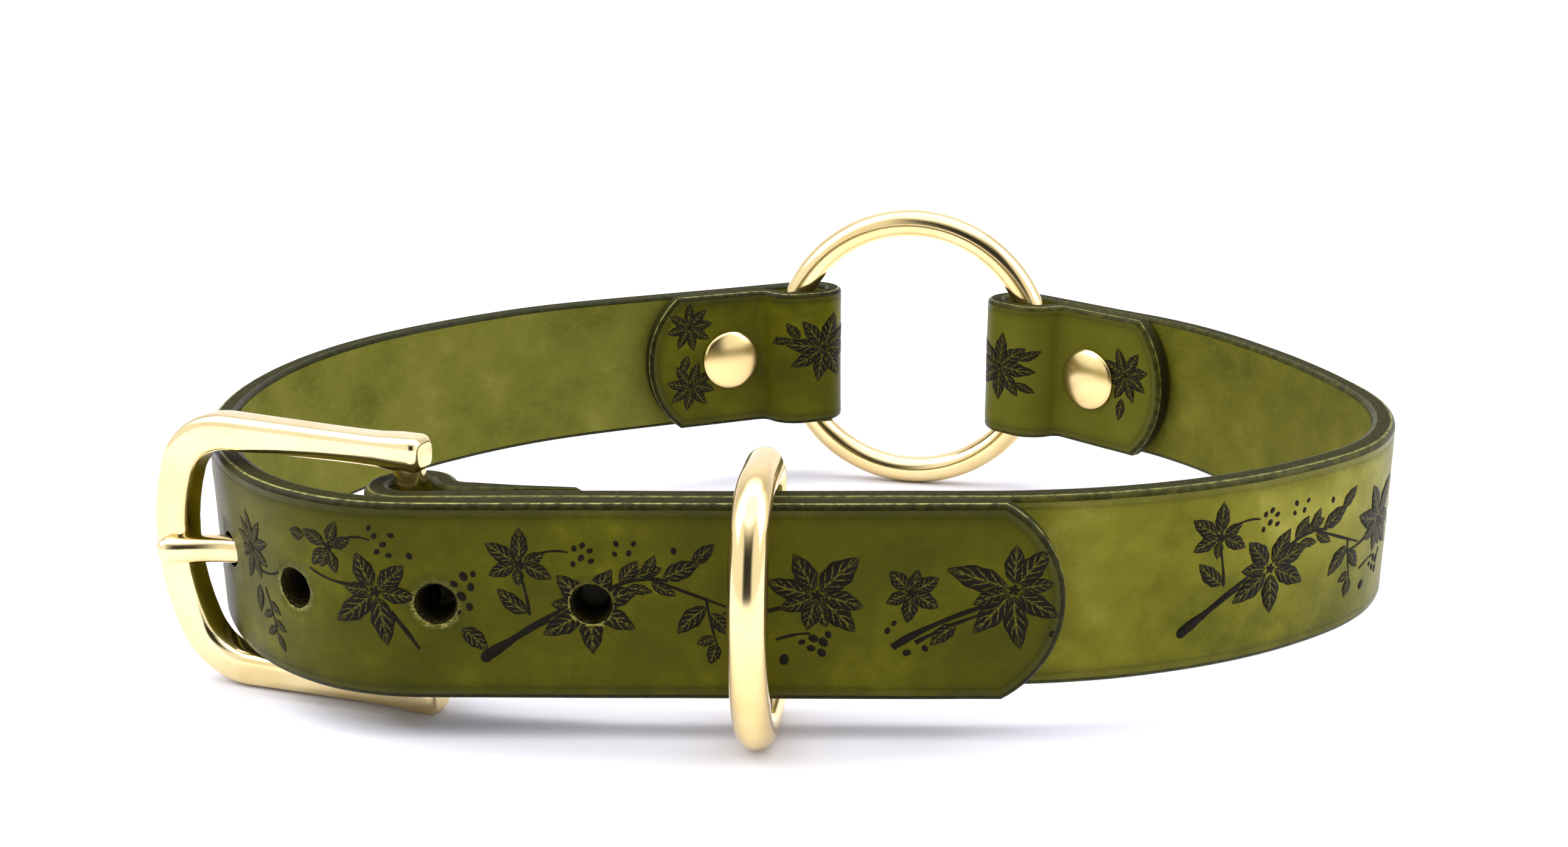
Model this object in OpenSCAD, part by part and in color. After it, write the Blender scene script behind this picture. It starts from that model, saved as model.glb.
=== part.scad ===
// Buckled leather dog collar: two straps joined at the back by one O-ring,
// closed at the front by a horseshoe buckle, with a D-ring over the lap.
// Millimetres, +Z up, the buckled front faces -Y.

/* [Leather] */
// Width of the buckle strap
strap_width = 25; // [18:0.5:38]
// Extra width of the tongue strap over the buckle strap
tongue_extra = 0.6; // [0:0.1:1.5]
// Thickness of the leather
leather = 3.2; // [2.2:0.1:4]
// Air between the two straps where they lap
lap_gap = 0.3; // [0.3:0.1:1]
// Radius that shapes the tip of the tongue
tip_radius = 14.7; // [13:0.1:24]
// Radius that rounds the ends of the two back flaps
flap_radius = 16.5; // [13:0.5:24]

/* [Holes] */
// Diameter of the punched adjustment holes
hole_diameter = 4.8; // [3.5:0.1:6]
// Distance from one adjustment hole to the next
hole_pitch = 19; // [14:0.5:22]
// Distance from the tip of the tongue to the first hole
first_hole = 57.6; // [50:0.5:60]

/* [Back ring] */
// Wire diameter of the back O-ring
ring_wire = 5; // [3.5:0.1:6]
// Height of the O-ring centre above the middle of the straps
ring_lift = 2; // [0:0.5:3]
// Length of each folded loop, from its fold to the end of its flap
flap_length = 39; // [34:0.5:46]

/* [Buckle] */
// Wire diameter of the buckle frame
frame_wire = 4.2; // [3.2:0.1:5]
// Distance from the heel bar to the middle of the bow
frame_length = 37.3; // [34:0.2:40]
// Play between each arm of the buckle and the tongue strap
frame_play = 1.75; // [0.6:0.05:3]
// Diameter of the prong
prong_wire = 3.6; // [2.8:0.1:4]

/* [Keeper ring] */
// Wire diameter of the D-ring
keeper_wire = 4.8; // [3.5:0.1:6]
// Play between the D-ring and the edge of the tongue strap
keeper_play = 0.5; // [0.3:0.05:2]
// Length of each straight flank of the D-ring
keeper_flank = 9; // [7:0.5:14]

/* [Rivets] */
// Diameter of the domed rivet caps
rivet_diameter = 11.2; // [8:0.2:12]

/* [Hidden] */
$fn = 96;

// Colours
leather_colour = [0.42, 0.43, 0.17];
brass_colour = [0.86, 0.72, 0.42];

// How the collar stands: leaning on the O-ring, the D-ring and the buckle
lean_back = 2.97;
lean_side = -0.06;
stand_x = -0.43;
stand_y = -55.36;
stand_z = 18.64;

// Strap runs in plan: each step is [length, turn in degrees]
tongue_width = strap_width + tongue_extra;
lap = leather + lap_gap;
tongue_start = [33.8, -lap, 180];
tongue_run = [[79, 0], [14.4, -30], [13.5, -20.8], [69.4, -65.8], [46.7, -36.6],
    [26.9, -4.2], [21.3, 0]];
heel_x = -47.2;
buckle_start = [heel_x, 0, 0];
buckle_run = [[71.6, 0], [51.7, 38.7], [33.2, 59.1], [32.4, 15.8], [25.2, 20.2], [24.0, 0]];

// Loops on the O-ring
loop_in = ring_wire / 2 + 0.4;
loop_mid = loop_in + leather / 2;
wire_back = 4.0;
wire_deep = leather / 2 + ring_wire / 2 - 0.3;
loop_straight = 3.4;
ease = 0.12;
flap_rest = leather + 0.05;
loop_drop = 2 * loop_mid - flap_rest;
second_bend = 3.2;
loop_angle = acos(1 - loop_drop / (loop_mid + second_bend));
flap_flat = loop_straight + (loop_mid + second_bend) * sin(loop_angle);
flap_end = flap_length - loop_in - leather;
rivet_back = flap_flat + rivet_diameter / 2 + 0.1;

// Heel fold round the bar of the buckle
bar_r = frame_wire / 2;
heel_in = bar_r + 0.5;
heel_mid = heel_in + leather / 2;
heel_y = heel_mid;
heel_second = 3.6;
heel_angle = acos(1 - (2 * heel_mid - flap_rest) / (heel_mid + heel_second));
heel_flat = (heel_mid + heel_second) * sin(heel_angle);
heel_flap = 24;
heel_rivet_x = 12.8;
heel_rivet_r = 4.4;
heel_seat = leather / 2 + 1.15;

// Buckle frame and prong
frame_angle = 161.0;
arm_q = tongue_width / 2 + frame_play + bar_r;
corner_r = 8.8;
corner_turn = 68;
bow_wire_r = bar_r + 0.5;
heel_corner = bar_r + 0.5;
bow_half = arm_q - corner_r + corner_r * cos(corner_turn);
bow_r = bow_half / cos(corner_turn);
bow_reach = corner_r * sin(corner_turn) + bow_r * (1 - sin(corner_turn));
arm_length = frame_length - bow_reach - heel_corner;
bow_swing = 90 - corner_turn + 0.6;
prong_r = prong_wire / 2;
eye_r = bar_r + 0.06;
eye_wall = 1.5;
prong_start = 159.3;
prong_first = 22.6;
prong_bend_r = 26;
prong_bend = 25;
prong_last = 3.2;
slot_half = 2.75;
seam = 0.06;
seam_lap = 0.5;

// Keeper D-ring
keeper_r = keeper_wire / 2;
keeper_half = tongue_width / 2 + keeper_play + keeper_r;
keeper_heel = 2.9;
keeper_corner = 9;
keeper_turn = 60;
keeper_front = (keeper_half - keeper_corner + keeper_corner * cos(keeper_turn))
    / cos(keeper_turn);
keeper_bow_x = keeper_flank - (keeper_front - keeper_corner) * sin(keeper_turn);
keeper_swing = 90 - keeper_turn + 0.5;
keeper_x = -2.5;
keeper_y = leather / 2 + 0.3 + keeper_r;
keeper_z = 0.2 - keeper_play;
keeper_yaw = 264.5;
keeper_seam = 0.05;
keeper_lap = 0.32;

// Rivets
rivet_r = rivet_diameter / 2;
tube_r = 1.7;
post_r = 1.15;
stack = leather + flap_rest;

// Where a step of a strap run ends, starting from p = [x, y, heading]
function step_end(p, s) = s[1] == 0
    ? [p[0] + s[0] * cos(p[2]), p[1] + s[0] * sin(p[2]), p[2]]
    : [p[0] + step_r(s) * (sin(p[2] + s[1]) - sin(p[2])),
       p[1] - step_r(s) * (cos(p[2] + s[1]) - cos(p[2])),
       p[2] + s[1]];
function step_r(s) = s[0] * 180 / (PI * s[1]);
function run_at(run, p, n) = n == 0 ? p : step_end(run_at(run, p, n - 1), run[n - 1]);
function run_end(run, p) = run_at(run, p, len(run));
// Position and heading at distance d along a run
function spot(run, p, d, i = 0) = (d <= run[i][0] || i == len(run) - 1)
    ? step_end(p, [d, run[i][1] * d / run[i][0]])
    : spot(run, step_end(p, run[i]), d - run[i][0], i + 1);

// Length and turn of an arc of radius r
function bend(r, turn) = [r * abs(turn) * PI / 180, turn];
// The loop on the O-ring and its flap, side = 1 when it turns to the left.
// straight and curve are the last two steps of the strap the flap lies against.
function loop_run(side, curve, straight) = [bend(loop_mid, side * 180), [loop_straight, 0],
    bend(loop_mid, side * loop_angle), bend(second_bend, -side * loop_angle),
    [straight[0] - flap_flat, 0],
    [(flap_end - straight[0]) * (1 - flap_rest * abs(curve[1]) * PI / 180 / curve[0]),
     -curve[1] * (flap_end - straight[0]) / curve[0]]];
heel_start = [heel_x + heel_flap, flap_rest, 180];
heel_run = [[heel_flap - heel_flat, 0], bend(heel_second, -heel_angle),
    bend(heel_mid, heel_angle), bend(heel_mid, 180)];

tongue_whole = concat(tongue_run, loop_run(-1, tongue_run[5], tongue_run[6]));
buckle_whole = concat(heel_run, buckle_run, loop_run(1, buckle_run[4], buckle_run[5]));

tongue_end = run_end(tongue_run, tongue_start);
buckle_end = run_end(buckle_run, buckle_start);
// Centre of the O-ring wire inside each loop, side = 1 when the inside is on the left
function wire_spot(p, side) = [p[0] - wire_back * cos(p[2]) - side * wire_deep * sin(p[2]),
    p[1] - wire_back * sin(p[2]) + side * wire_deep * cos(p[2])];
left_wire = wire_spot(tongue_end, -1);
right_wire = wire_spot(buckle_end, 1);
ring_mid = (left_wire + right_wire) / 2;
ring_half = norm(right_wire - left_wire) / 2;
ring_r = sqrt(ring_half * ring_half + ring_lift * ring_lift);
ring_yaw = atan2(right_wire[1] - left_wire[1], right_wire[0] - left_wire[0]);

module place(p) {
    translate([p[0], p[1], 0])
        rotate([0, 0, p[2]])
            children();
}

module stand() {
    translate([stand_x, stand_y, stand_z])
        rotate([lean_back, lean_side, 0])
            children();
}

// A run cut into short steps, so that its outline can be drawn
function step_count(s) = max(1, ceil(abs(s[1]) / 3));
function stations(run, p) = [for (i = [0:len(run) - 1])
    for (j = [(i == 0 ? 0 : 1):step_count(run[i])])
        step_end(run_at(run, p, i), run[i] * (j / step_count(run[i])))];
function beside(q, d) = [q[0] - d * sin(q[2]), q[1] + d * cos(q[2])];

// A strip of leather standing on edge along a run
module strap_band(run, p, width, thick = leather) {
    line = stations(run, p);
    last = len(line) - 1;
    left_side = [for (i = [0:last]) beside(line[i], thick / 2)];
    right_side = [for (i = [last:-1:0]) beside(line[i], -thick / 2)];
    translate([0, 0, -width / 2])
        linear_extrude(width)
            polygon(concat(left_side, right_side));
}

// Room that the wire of the O-ring presses into the leather of the loops
module ring_groove() {
    translate([ring_mid[0], ring_mid[1], ring_lift])
        rotate([90, 0, ring_yaw])
            rotate_extrude()
                translate([ring_r, 0])
                    circle(r = ring_wire / 2 + ease);
}

// Hole straight through the leather at the origin, across the strap
module cross_hole(r, deep) {
    rotate([-90, 0, 0])
        translate([0, 0, -deep])
            cylinder(r = r, h = 2 * deep);
}

// Path of the prong: straight from the heel bar, a bend, then on to the rounded tip
module prong_path(r) {
    rotate([0, 90, 0])
        cylinder(r = r, h = prong_first + seam_lap);
    translate([prong_first, prong_bend_r, 0])
        rotate([0, 0, -90])
            rotate_extrude(angle = prong_bend)
                translate([prong_bend_r, 0])
                    circle(r = r - seam);
    translate([prong_first, prong_bend_r, 0])
        rotate([0, 0, prong_bend])
            translate([-seam_lap, -prong_bend_r, 0])
                rotate([0, 90, 0])
                    round_end(r, prong_last + seam_lap);
}

// Rod along +Z with a rounded end
module round_end(r, h) {
    rotate_extrude()
        intersection() {
            union() {
                square([r, h]);
                translate([0, h])
                    circle(r = r);
            }
            square([r, h + r]);
        }
}

module at_heel(angle) {
    translate([heel_x, heel_y, 0])
        rotate([0, 0, angle])
            children();
}

module tongue_strap() {
    color(leather_colour)
    stand()
        difference() {
            strap_band(tongue_whole, tongue_start, tongue_width);
            tip_cuts();
            flap_cuts(tongue_whole, tongue_start);
            for (i = [0:3]) {
                place(spot(tongue_run, tongue_start, first_hole + i * hole_pitch))
                    cross_hole(hole_diameter / 2, leather);
            }
            at_heel(prong_start)
                prong_path(hole_diameter / 2);
            ring_groove();
            place(tongue_end)
                translate([-rivet_back, 0, 0])
                    cross_hole(tube_r + 0.05, 3 * leather);
        }
}

// What is cut away round the rounded, clipped tip of the tongue
module tip_cuts() {
    difference() {
        translate([tongue_start[0] - tip_radius, -2 * lap, -tongue_width])
            cube([2 * tip_radius, 2 * lap - lap_gap / 2 - leather / 2, 2 * tongue_width]);
        translate([tongue_start[0] - tip_radius, 0, 0])
            rotate([90, 0, 0])
                cylinder(r = tip_radius, h = 4 * leather);
    }
}

// What is cut away round the end of the flap that closes a run
module flap_cuts(run, p) {
    n = len(run);
    difference() {
        strap_band([run[n - 2], run[n - 1], [1, 0]], run_at(run, p, n - 2), 80, leather + 0.04);
        place(run_end(run, p))
            translate([-flap_radius, 0, 0])
                rotate([-90, 0, 0])
                    cylinder(r = flap_radius, h = 8 * leather, center = true);
    }
}

module buckle_strap() {
    color(leather_colour)
    stand()
        difference() {
            strap_band(buckle_whole, heel_start, strap_width);
            flap_cuts(buckle_whole, heel_start);
            heel_cuts();
            ring_groove();
            place(buckle_end)
                translate([-rivet_back, 0, 0])
                    cross_hole(tube_r + 0.05, 3 * leather);
        }
}

// Slot for the eye of the prong, pared end of the fold, seat and hole for the rivet
module heel_cuts() {
    translate([heel_x, leather / 2 + 0.05, -strap_width])
        linear_extrude(2 * strap_width)
            polygon([[heel_flat, leather], [heel_flat + 6.5, 0.5 * leather], [heel_flap, 0.45],
                [heel_flap + 1, 0.45], [heel_flap + 1, 2 * leather], [heel_flat, 2 * leather]]);
    translate([heel_x - 3 * heel_mid, -leather, -slot_half])
        cube([3 * heel_mid + eye_r + eye_wall + 0.6, 5 * leather, 2 * slot_half]);
    translate([heel_x + heel_rivet_x, 0, 0])
        cross_hole(tube_r + 0.05, 3 * leather);
    translate([heel_x + heel_rivet_x, heel_seat, 0])
        rotate([-90, 0, 0])
            cylinder(r = heel_rivet_r + 0.1, h = 3 * leather);
    translate([heel_x + heel_rivet_x, -leather / 2 + 1.05, 0])
        rotate([90, 0, 0])
            cylinder(r = heel_rivet_r + 0.1, h = leather);
}

module back_ring() {
    color(brass_colour)
    stand()
        translate([ring_mid[0], ring_mid[1], ring_lift])
            rotate([90, 0, ring_yaw])
                rotate_extrude()
                    translate([ring_r, 0])
                        circle(r = ring_wire / 2);
}

// Upper arm of the buckle with the corner at the heel and the corner of the bow
module frame_arm() {
    translate([heel_corner, 0, arm_q - heel_corner])
        rotate([90, 0, 0])
            rotate([0, 0, 90])
                rotate_extrude(angle = 90)
                    translate([heel_corner, 0])
                        circle(r = bar_r - seam);
    translate([heel_corner - seam_lap, 0, arm_q])
        rotate([0, 90, 0])
            rotate_extrude()
                polygon([[0, 0], [bar_r, 0], [bar_r, 0.5 * arm_length],
                    [bow_wire_r, arm_length], [bow_wire_r, arm_length + 2 * seam_lap],
                    [0, arm_length + 2 * seam_lap]]);
    translate([heel_corner + arm_length, 0, arm_q - corner_r])
        rotate([90, 0, 0])
            rotate([0, 0, 90 - corner_turn])
                rotate_extrude(angle = corner_turn)
                    translate([corner_r, 0])
                        circle(r = bow_wire_r - seam);
}

module buckle_frame() {
    color(brass_colour)
    stand()
        at_heel(frame_angle)
            difference() {
                union() {
                    translate([0, 0, heel_corner - arm_q - seam_lap])
                        cylinder(r = bar_r, h = 2 * (arm_q - heel_corner + seam_lap));
                    for (side = [0, 1]) {
                        mirror([0, 0, side])
                            frame_arm();
                    }
                    translate([frame_length - bow_r, 0, 0])
                        rotate([90, 0, 0])
                            rotate([0, 0, -bow_swing])
                                rotate_extrude(angle = 2 * bow_swing)
                                    translate([bow_r, 0])
                                        circle(r = bow_wire_r);
                }
                rotate([0, 0, prong_start - frame_angle])
                    prong_path(prong_r + 0.06);
            }
}

module buckle_prong() {
    color(brass_colour)
    stand()
        at_heel(prong_start)
            difference() {
                union() {
                    translate([0, 0, -prong_r - 0.4])
                        cylinder(r = eye_r + eye_wall, h = 2 * prong_r + 0.8);
                    prong_path(prong_r);
                }
                translate([0, 0, -10])
                    cylinder(r = eye_r, h = 20);
            }
}

// Upper half of the D: heel corner, flank and front corner
module keeper_half_wire() {
    translate([keeper_heel, 0, keeper_half - keeper_heel])
        rotate([90, 0, 0])
            rotate([0, 0, 90])
                rotate_extrude(angle = 90)
                    translate([keeper_heel, 0])
                        circle(r = keeper_r - keeper_seam);
    translate([keeper_heel - keeper_lap, 0, keeper_half])
        rotate([0, 90, 0])
            cylinder(r = keeper_r, h = keeper_flank - keeper_heel + 2 * keeper_lap);
    translate([keeper_flank, 0, keeper_half - keeper_corner])
        rotate([90, 0, 0])
            rotate([0, 0, 90 - keeper_turn])
                rotate_extrude(angle = keeper_turn)
                    translate([keeper_corner, 0])
                        circle(r = keeper_r - keeper_seam);
}

module keeper_ring() {
    color(brass_colour)
    stand()
        translate([keeper_x, keeper_y, keeper_z])
            rotate([0, 0, keeper_yaw]) {
                translate([0, 0, keeper_heel - keeper_half - keeper_lap])
                    cylinder(r = keeper_r, h = 2 * (keeper_half - keeper_heel + keeper_lap));
                for (side = [0, 1]) {
                    mirror([0, 0, side])
                        keeper_half_wire();
                }
                translate([keeper_bow_x, 0, 0])
                    rotate([90, 0, 0])
                        rotate([0, 0, -keeper_swing])
                            rotate_extrude(angle = 2 * keeper_swing)
                                translate([keeper_front, 0])
                                    circle(r = keeper_r);
            }
}

// Domed disc of a rivet, flat face at z = 0
module dome(r, rim, rise) {
    ball = (r * r + rise * rise) / (2 * rise);
    rotate_extrude()
        intersection() {
            translate([0, rim + rise - ball])
                circle(r = ball);
            square([r, rim + rise]);
        }
}

// Cap half: dome with a hollow tube that reaches through the leather
module cap_half(r, rim, rise, tube) {
    dome(r, rim, rise);
    difference() {
        translate([0, 0, -tube])
            cylinder(r = tube_r, h = tube + rim / 2);
        translate([0, 0, -tube - 1])
            cylinder(r = post_r, h = tube + 0.6);
    }
}

// Post half: dome with a solid post that fits the tube
module post_half(r, rim, rise, post) {
    dome(r, rim, rise);
    translate([0, 0, -post])
        cylinder(r = post_r, h = post + rim / 2);
}

module rivet_caps() {
    color(brass_colour)
    stand() {
        place(tongue_end)
            translate([-rivet_back, -flap_rest - leather / 2, 0])
                rotate([90, 0, 0])
                    cap_half(rivet_r, 0.5, 1.5, stack - 0.2);
        place(buckle_end)
            translate([-rivet_back, flap_rest + leather / 2, 0])
                rotate([-90, 0, 0])
                    cap_half(rivet_r, 0.5, 1.5, stack - 0.2);
    }
}

module rivet_posts() {
    color(brass_colour)
    stand() {
        place(tongue_end)
            translate([-rivet_back, leather / 2, 0])
                rotate([-90, 0, 0])
                    post_half(rivet_r, 0.5, 1.5, stack - 0.7);
        place(buckle_end)
            translate([-rivet_back, -leather / 2, 0])
                rotate([90, 0, 0])
                    post_half(rivet_r, 0.5, 1.5, stack - 0.7);
    }
}

module heel_rivet_cap() {
    color(brass_colour)
    stand()
        translate([heel_x + heel_rivet_x, heel_seat, 0])
            rotate([-90, 0, 0])
                cap_half(heel_rivet_r, 0.4, 0.9, heel_seat + leather / 2 - 1.25);
}

module heel_rivet_post() {
    color(brass_colour)
    stand()
        translate([heel_x + heel_rivet_x, -leather / 2 + 1.05, 0])
            rotate([90, 0, 0]) {
                cylinder(r = heel_rivet_r, h = 0.95);
                translate([0, 0, -2.6])
                    cylinder(r = post_r, h = 2.8);
            }
}

tongue_strap();
buckle_strap();
back_ring();
buckle_frame();
buckle_prong();
keeper_ring();
rivet_caps();
rivet_posts();
heel_rivet_cap();
heel_rivet_post();
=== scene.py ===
"""Buckled leather dog collar: the visible pieces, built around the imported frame."""
import math
import bpy
import bmesh
from mathutils import Matrix, Vector, noise


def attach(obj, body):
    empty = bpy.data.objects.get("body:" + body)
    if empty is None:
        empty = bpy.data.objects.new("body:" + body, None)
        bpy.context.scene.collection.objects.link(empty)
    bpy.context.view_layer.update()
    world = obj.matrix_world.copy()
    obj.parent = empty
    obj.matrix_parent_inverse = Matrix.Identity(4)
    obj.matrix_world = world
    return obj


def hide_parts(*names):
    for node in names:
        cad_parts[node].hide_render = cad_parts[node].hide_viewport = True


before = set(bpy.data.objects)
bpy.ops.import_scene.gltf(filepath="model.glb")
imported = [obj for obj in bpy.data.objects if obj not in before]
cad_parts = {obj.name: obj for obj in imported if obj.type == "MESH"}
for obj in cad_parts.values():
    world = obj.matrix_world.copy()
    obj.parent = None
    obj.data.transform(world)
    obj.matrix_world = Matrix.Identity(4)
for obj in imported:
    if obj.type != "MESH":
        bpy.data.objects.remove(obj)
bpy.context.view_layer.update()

# ---------------------------------------------------------------- sizes, in millimetres
# The collar's own frame: the front straps run along X, z = 0 is the middle of the straps.
LEATHER = 3.2
LAP_Y = -3.5
TONGUE_W = 25.6
BUCKLE_W = 25.0
TIP_R = 14.7
FLAP_R = 16.5
HALF = LEATHER / 2
BEVEL = 0.75
HOLE_R = 2.4
HOLES = [57.6, 76.6, 95.6]
RING_WIRE = 5.0
HEEL_X, HEEL_Y = -47.2, 4.2
FRAME_ANGLE = 161.0
PRONG_ANGLE = 159.3
FRAME_LENGTH = 37.3
ARM_Z = 16.65
RIVET_R = 5.6

LEAN_BACK, LEAN_SIDE = math.radians(2.97), math.radians(-0.06)
STAND = Vector((-0.43, -55.36, 18.64))
TO_ROW = (
    Matrix.Scale(0.001, 4)
    @ Matrix.Translation(STAND)
    @ Matrix.Rotation(LEAN_SIDE, 4, "Y")
    @ Matrix.Rotation(LEAN_BACK, 4, "X")
)

# ---------------------------------------------------------------- strap runs in plan
# A run is a list of (length, turn in degrees) steps along the middle of the leather.


def bend(r, turn):
    return (r * math.radians(abs(turn)), turn)


def step_end(p, step):
    length, turn = step
    x, y, h = p
    if turn == 0:
        return (x + length * math.cos(math.radians(h)), y + length * math.sin(math.radians(h)), h)
    r = length / math.radians(turn)
    h2 = h + turn
    return (
        x + r * (math.sin(math.radians(h2)) - math.sin(math.radians(h))),
        y - r * (math.cos(math.radians(h2)) - math.cos(math.radians(h))),
        h2,
    )


LOOP_IN = RING_WIRE / 2 + 0.4
LOOP_MID = LOOP_IN + HALF
FLAP_REST = LEATHER + 0.05
SECOND = 3.2
LOOP_DROP = 2 * LOOP_MID - FLAP_REST
LOOP_ANGLE = math.degrees(math.acos(1 - LOOP_DROP / (LOOP_MID + SECOND)))
FLAP_FLAT = 3.4 + (LOOP_MID + SECOND) * math.sin(math.radians(LOOP_ANGLE))
FLAP_END = 39 - LOOP_IN - LEATHER
RIVET_BACK = FLAP_FLAT + RIVET_R + 0.1
HEEL_MID = 4.2
HEEL_SECOND = 3.6
HEEL_ANGLE = math.degrees(math.acos(1 - (2 * HEEL_MID - FLAP_REST) / (HEEL_MID + HEEL_SECOND)))
HEEL_FLAT = (HEEL_MID + HEEL_SECOND) * math.sin(math.radians(HEEL_ANGLE))
HEEL_FLAP = 24.0


def loop_run(side, curve, straight):
    """Round the O-ring and back along the strap, which the flap follows."""
    over = FLAP_END - straight[0]
    return [
        bend(LOOP_MID, side * 180),
        (3.4, 0),
        bend(LOOP_MID, side * LOOP_ANGLE),
        bend(SECOND, -side * LOOP_ANGLE),
        (straight[0] - FLAP_FLAT, 0),
        (over * (1 - FLAP_REST * math.radians(abs(curve[1])) / curve[0]), -curve[1] * over / curve[0]),
    ]


TONGUE_START = (33.8, LAP_Y, 180.0)
TONGUE_RUN = [(79, 0), (14.4, -30), (13.5, -20.8), (69.4, -65.8), (46.7, -36.6), (26.9, -4.2), (21.3, 0)]
BUCKLE_RUN = [(71.6, 0), (51.7, 38.7), (33.2, 59.1), (32.4, 15.8), (25.2, 20.2), (24.0, 0)]
HEEL_START = (HEEL_X + HEEL_FLAP, FLAP_REST, 180.0)
HEEL_RUN = [
    (HEEL_FLAP - HEEL_FLAT, 0),
    bend(HEEL_SECOND, -HEEL_ANGLE),
    bend(HEEL_MID, HEEL_ANGLE),
    bend(HEEL_MID, 180),
]
TONGUE_ALL = TONGUE_RUN + loop_run(-1, TONGUE_RUN[5], TONGUE_RUN[6])
BUCKLE_ALL = HEEL_RUN + BUCKLE_RUN + loop_run(1, BUCKLE_RUN[4], BUCKLE_RUN[5])


def run_length(run):
    return sum(step[0] for step in run)


def at(run, p, d):
    """Place and heading at distance d along a run."""
    for step in run[:-1]:
        if d <= step[0]:
            break
        p, d = step_end(p, step), d - step[0]
    else:
        step = run[-1]
    return step_end(p, (d, step[1] * d / step[0]))


def slices(run, fine=1.3, straight=4.0):
    """Where a flat strap is cut across, so that it bends smoothly along its run."""
    out, s = [], 0.0
    for length, turn in run:
        n = max(1, math.ceil(length / straight))
        if turn:
            radius = length / math.radians(abs(turn))
            n = math.ceil(length / min(fine, 0.16 * radius))
        out += [s + length * j / n for j in range(1, n + 1)]
        s += length
    return out[:-1]


TONGUE_LEN = run_length(TONGUE_ALL)
BUCKLE_LEN = run_length(BUCKLE_ALL)
HEEL_S = run_length(HEEL_RUN)
TONGUE_RING_S = run_length(TONGUE_RUN)
BUCKLE_RING_S = HEEL_S + run_length(BUCKLE_RUN)


def wander(s, z, seed):
    """How far the hand-cut strap strays through its thickness."""
    return 0.10 * noise.noise(Vector((s / 16, z / 11, seed))) + 0.04 * noise.noise(Vector((s / 5, z / 5, seed + 7)))


def pared(s, t):
    """The end of the heel fold is pared thin on its open side."""
    x = HEEL_FLAP - s
    if x <= HEEL_FLAT:
        return t
    if x < HEEL_FLAT + 6.5:
        thick = LEATHER - (LEATHER - 1.6) * (x - HEEL_FLAT) / 6.5
    else:
        thick = 1.6 - 1.15 * (x - HEEL_FLAT - 6.5) / (HEEL_FLAP - HEEL_FLAT - 6.5)
    return HALF - (HALF - t) * thick / LEATHER


class Strap:
    """One strap: s runs along it from its first end, z up it and t through it."""

    def __init__(self, run, start, width, length, tip, seed, heel):
        self.run, self.start, self.width, self.length = run, start, width, length
        self.tip, self.seed, self.heel = tip, seed, heel

    def put(self, s, z, t):
        if self.heel:
            t = pared(s, t)
        x, y, h = at(self.run, self.start, s)
        t += wander(s, z, self.seed)
        a = math.radians(h)
        z += 0.12 * noise.noise(Vector((s / 24, 3.1, self.seed)))
        return Vector((x - t * math.sin(a), y + t * math.cos(a), z))

    def inside(self, s, z, margin):
        """Whether a spot on the flat strap is further than the margin from its outline."""
        if self.tip and s < self.tip and math.hypot(s - self.tip, z) > self.tip - margin:
            return False
        if s > self.length - FLAP_R and math.hypot(s - self.length + FLAP_R, z) > FLAP_R - margin:
            return False
        return abs(z) < self.width / 2 - margin and 0 < s < self.length


TONGUE = Strap(TONGUE_ALL, TONGUE_START, TONGUE_W, TONGUE_LEN, TIP_R, 2.3, False)
BUCKLE = Strap(BUCKLE_ALL, HEEL_START, BUCKLE_W, BUCKLE_LEN, 0, 8.9, True)

# ---------------------------------------------------------------- modelling helpers


def link(name, mesh):
    ob = bpy.data.objects.new(name, mesh)
    bpy.context.scene.collection.objects.link(ob)
    return ob


def to_mesh(bm, name):
    mesh = bpy.data.meshes.new(name)
    bm.to_mesh(mesh)
    bm.free()
    return mesh


def cut(mesh, tool, keep_finish=False):
    """Takes the tool's shape out of the mesh."""
    tool_ob = link("cutter", tool)
    ob = link("blank", mesh)
    mod = ob.modifiers.new("cut", "BOOLEAN")
    mod.operation = "DIFFERENCE"
    mod.solver = "EXACT"
    if keep_finish:
        mod.material_mode = "TRANSFER"
    mod.object = tool_ob
    bpy.context.view_layer.update()
    graph = bpy.context.evaluated_depsgraph_get()
    out = bpy.data.meshes.new_from_object(ob.evaluated_get(graph), depsgraph=graph)
    bpy.data.objects.remove(ob)
    bpy.data.objects.remove(tool_ob)
    return out


def finish_piece(ob, body, slot, *nodes):
    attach(ob, body)
    if nodes:
        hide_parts(*nodes)
    return ob


def placed(bm, name, material, matrix=Matrix.Identity(4)):
    """A smooth-shaded piece from a bmesh in millimetres."""
    bmesh.ops.recalc_face_normals(bm, faces=bm.faces)
    for f in bm.faces:
        f.smooth = True
    mesh = to_mesh(bm, name)
    mesh.transform(TO_ROW @ matrix)
    mesh.materials.append(material)
    return link(name, mesh)


def turned(profile, steps=72):
    """Turned solid about Z from (radius, height) points, first and last on the axis."""
    bm = bmesh.new()
    verts = [bm.verts.new((r, 0, h)) for r, h in profile]
    edges = [bm.edges.new(pair) for pair in zip(verts, verts[1:])]
    bmesh.ops.spin(bm, geom=verts + edges, cent=(0, 0, 0), axis=(0, 0, 1), angle=math.tau, steps=steps,
                   use_merge=True)
    bmesh.ops.remove_doubles(bm, verts=bm.verts, dist=1e-4)
    bmesh.ops.recalc_face_normals(bm, faces=bm.faces)
    return bm


def squarish(bm, verts, power):
    """Draws a round section in the YZ plane towards a rounded square."""
    for v in verts:
        y, z = v.co.y, v.co.z
        r = math.hypot(y, z)
        if r > 1e-9:
            c, s = abs(y) / r, abs(z) / r
            k = r / (c ** power + s ** power) ** (1 / power)
            v.co.y, v.co.z = math.copysign(c * k, y), math.copysign(s * k, z)


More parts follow.
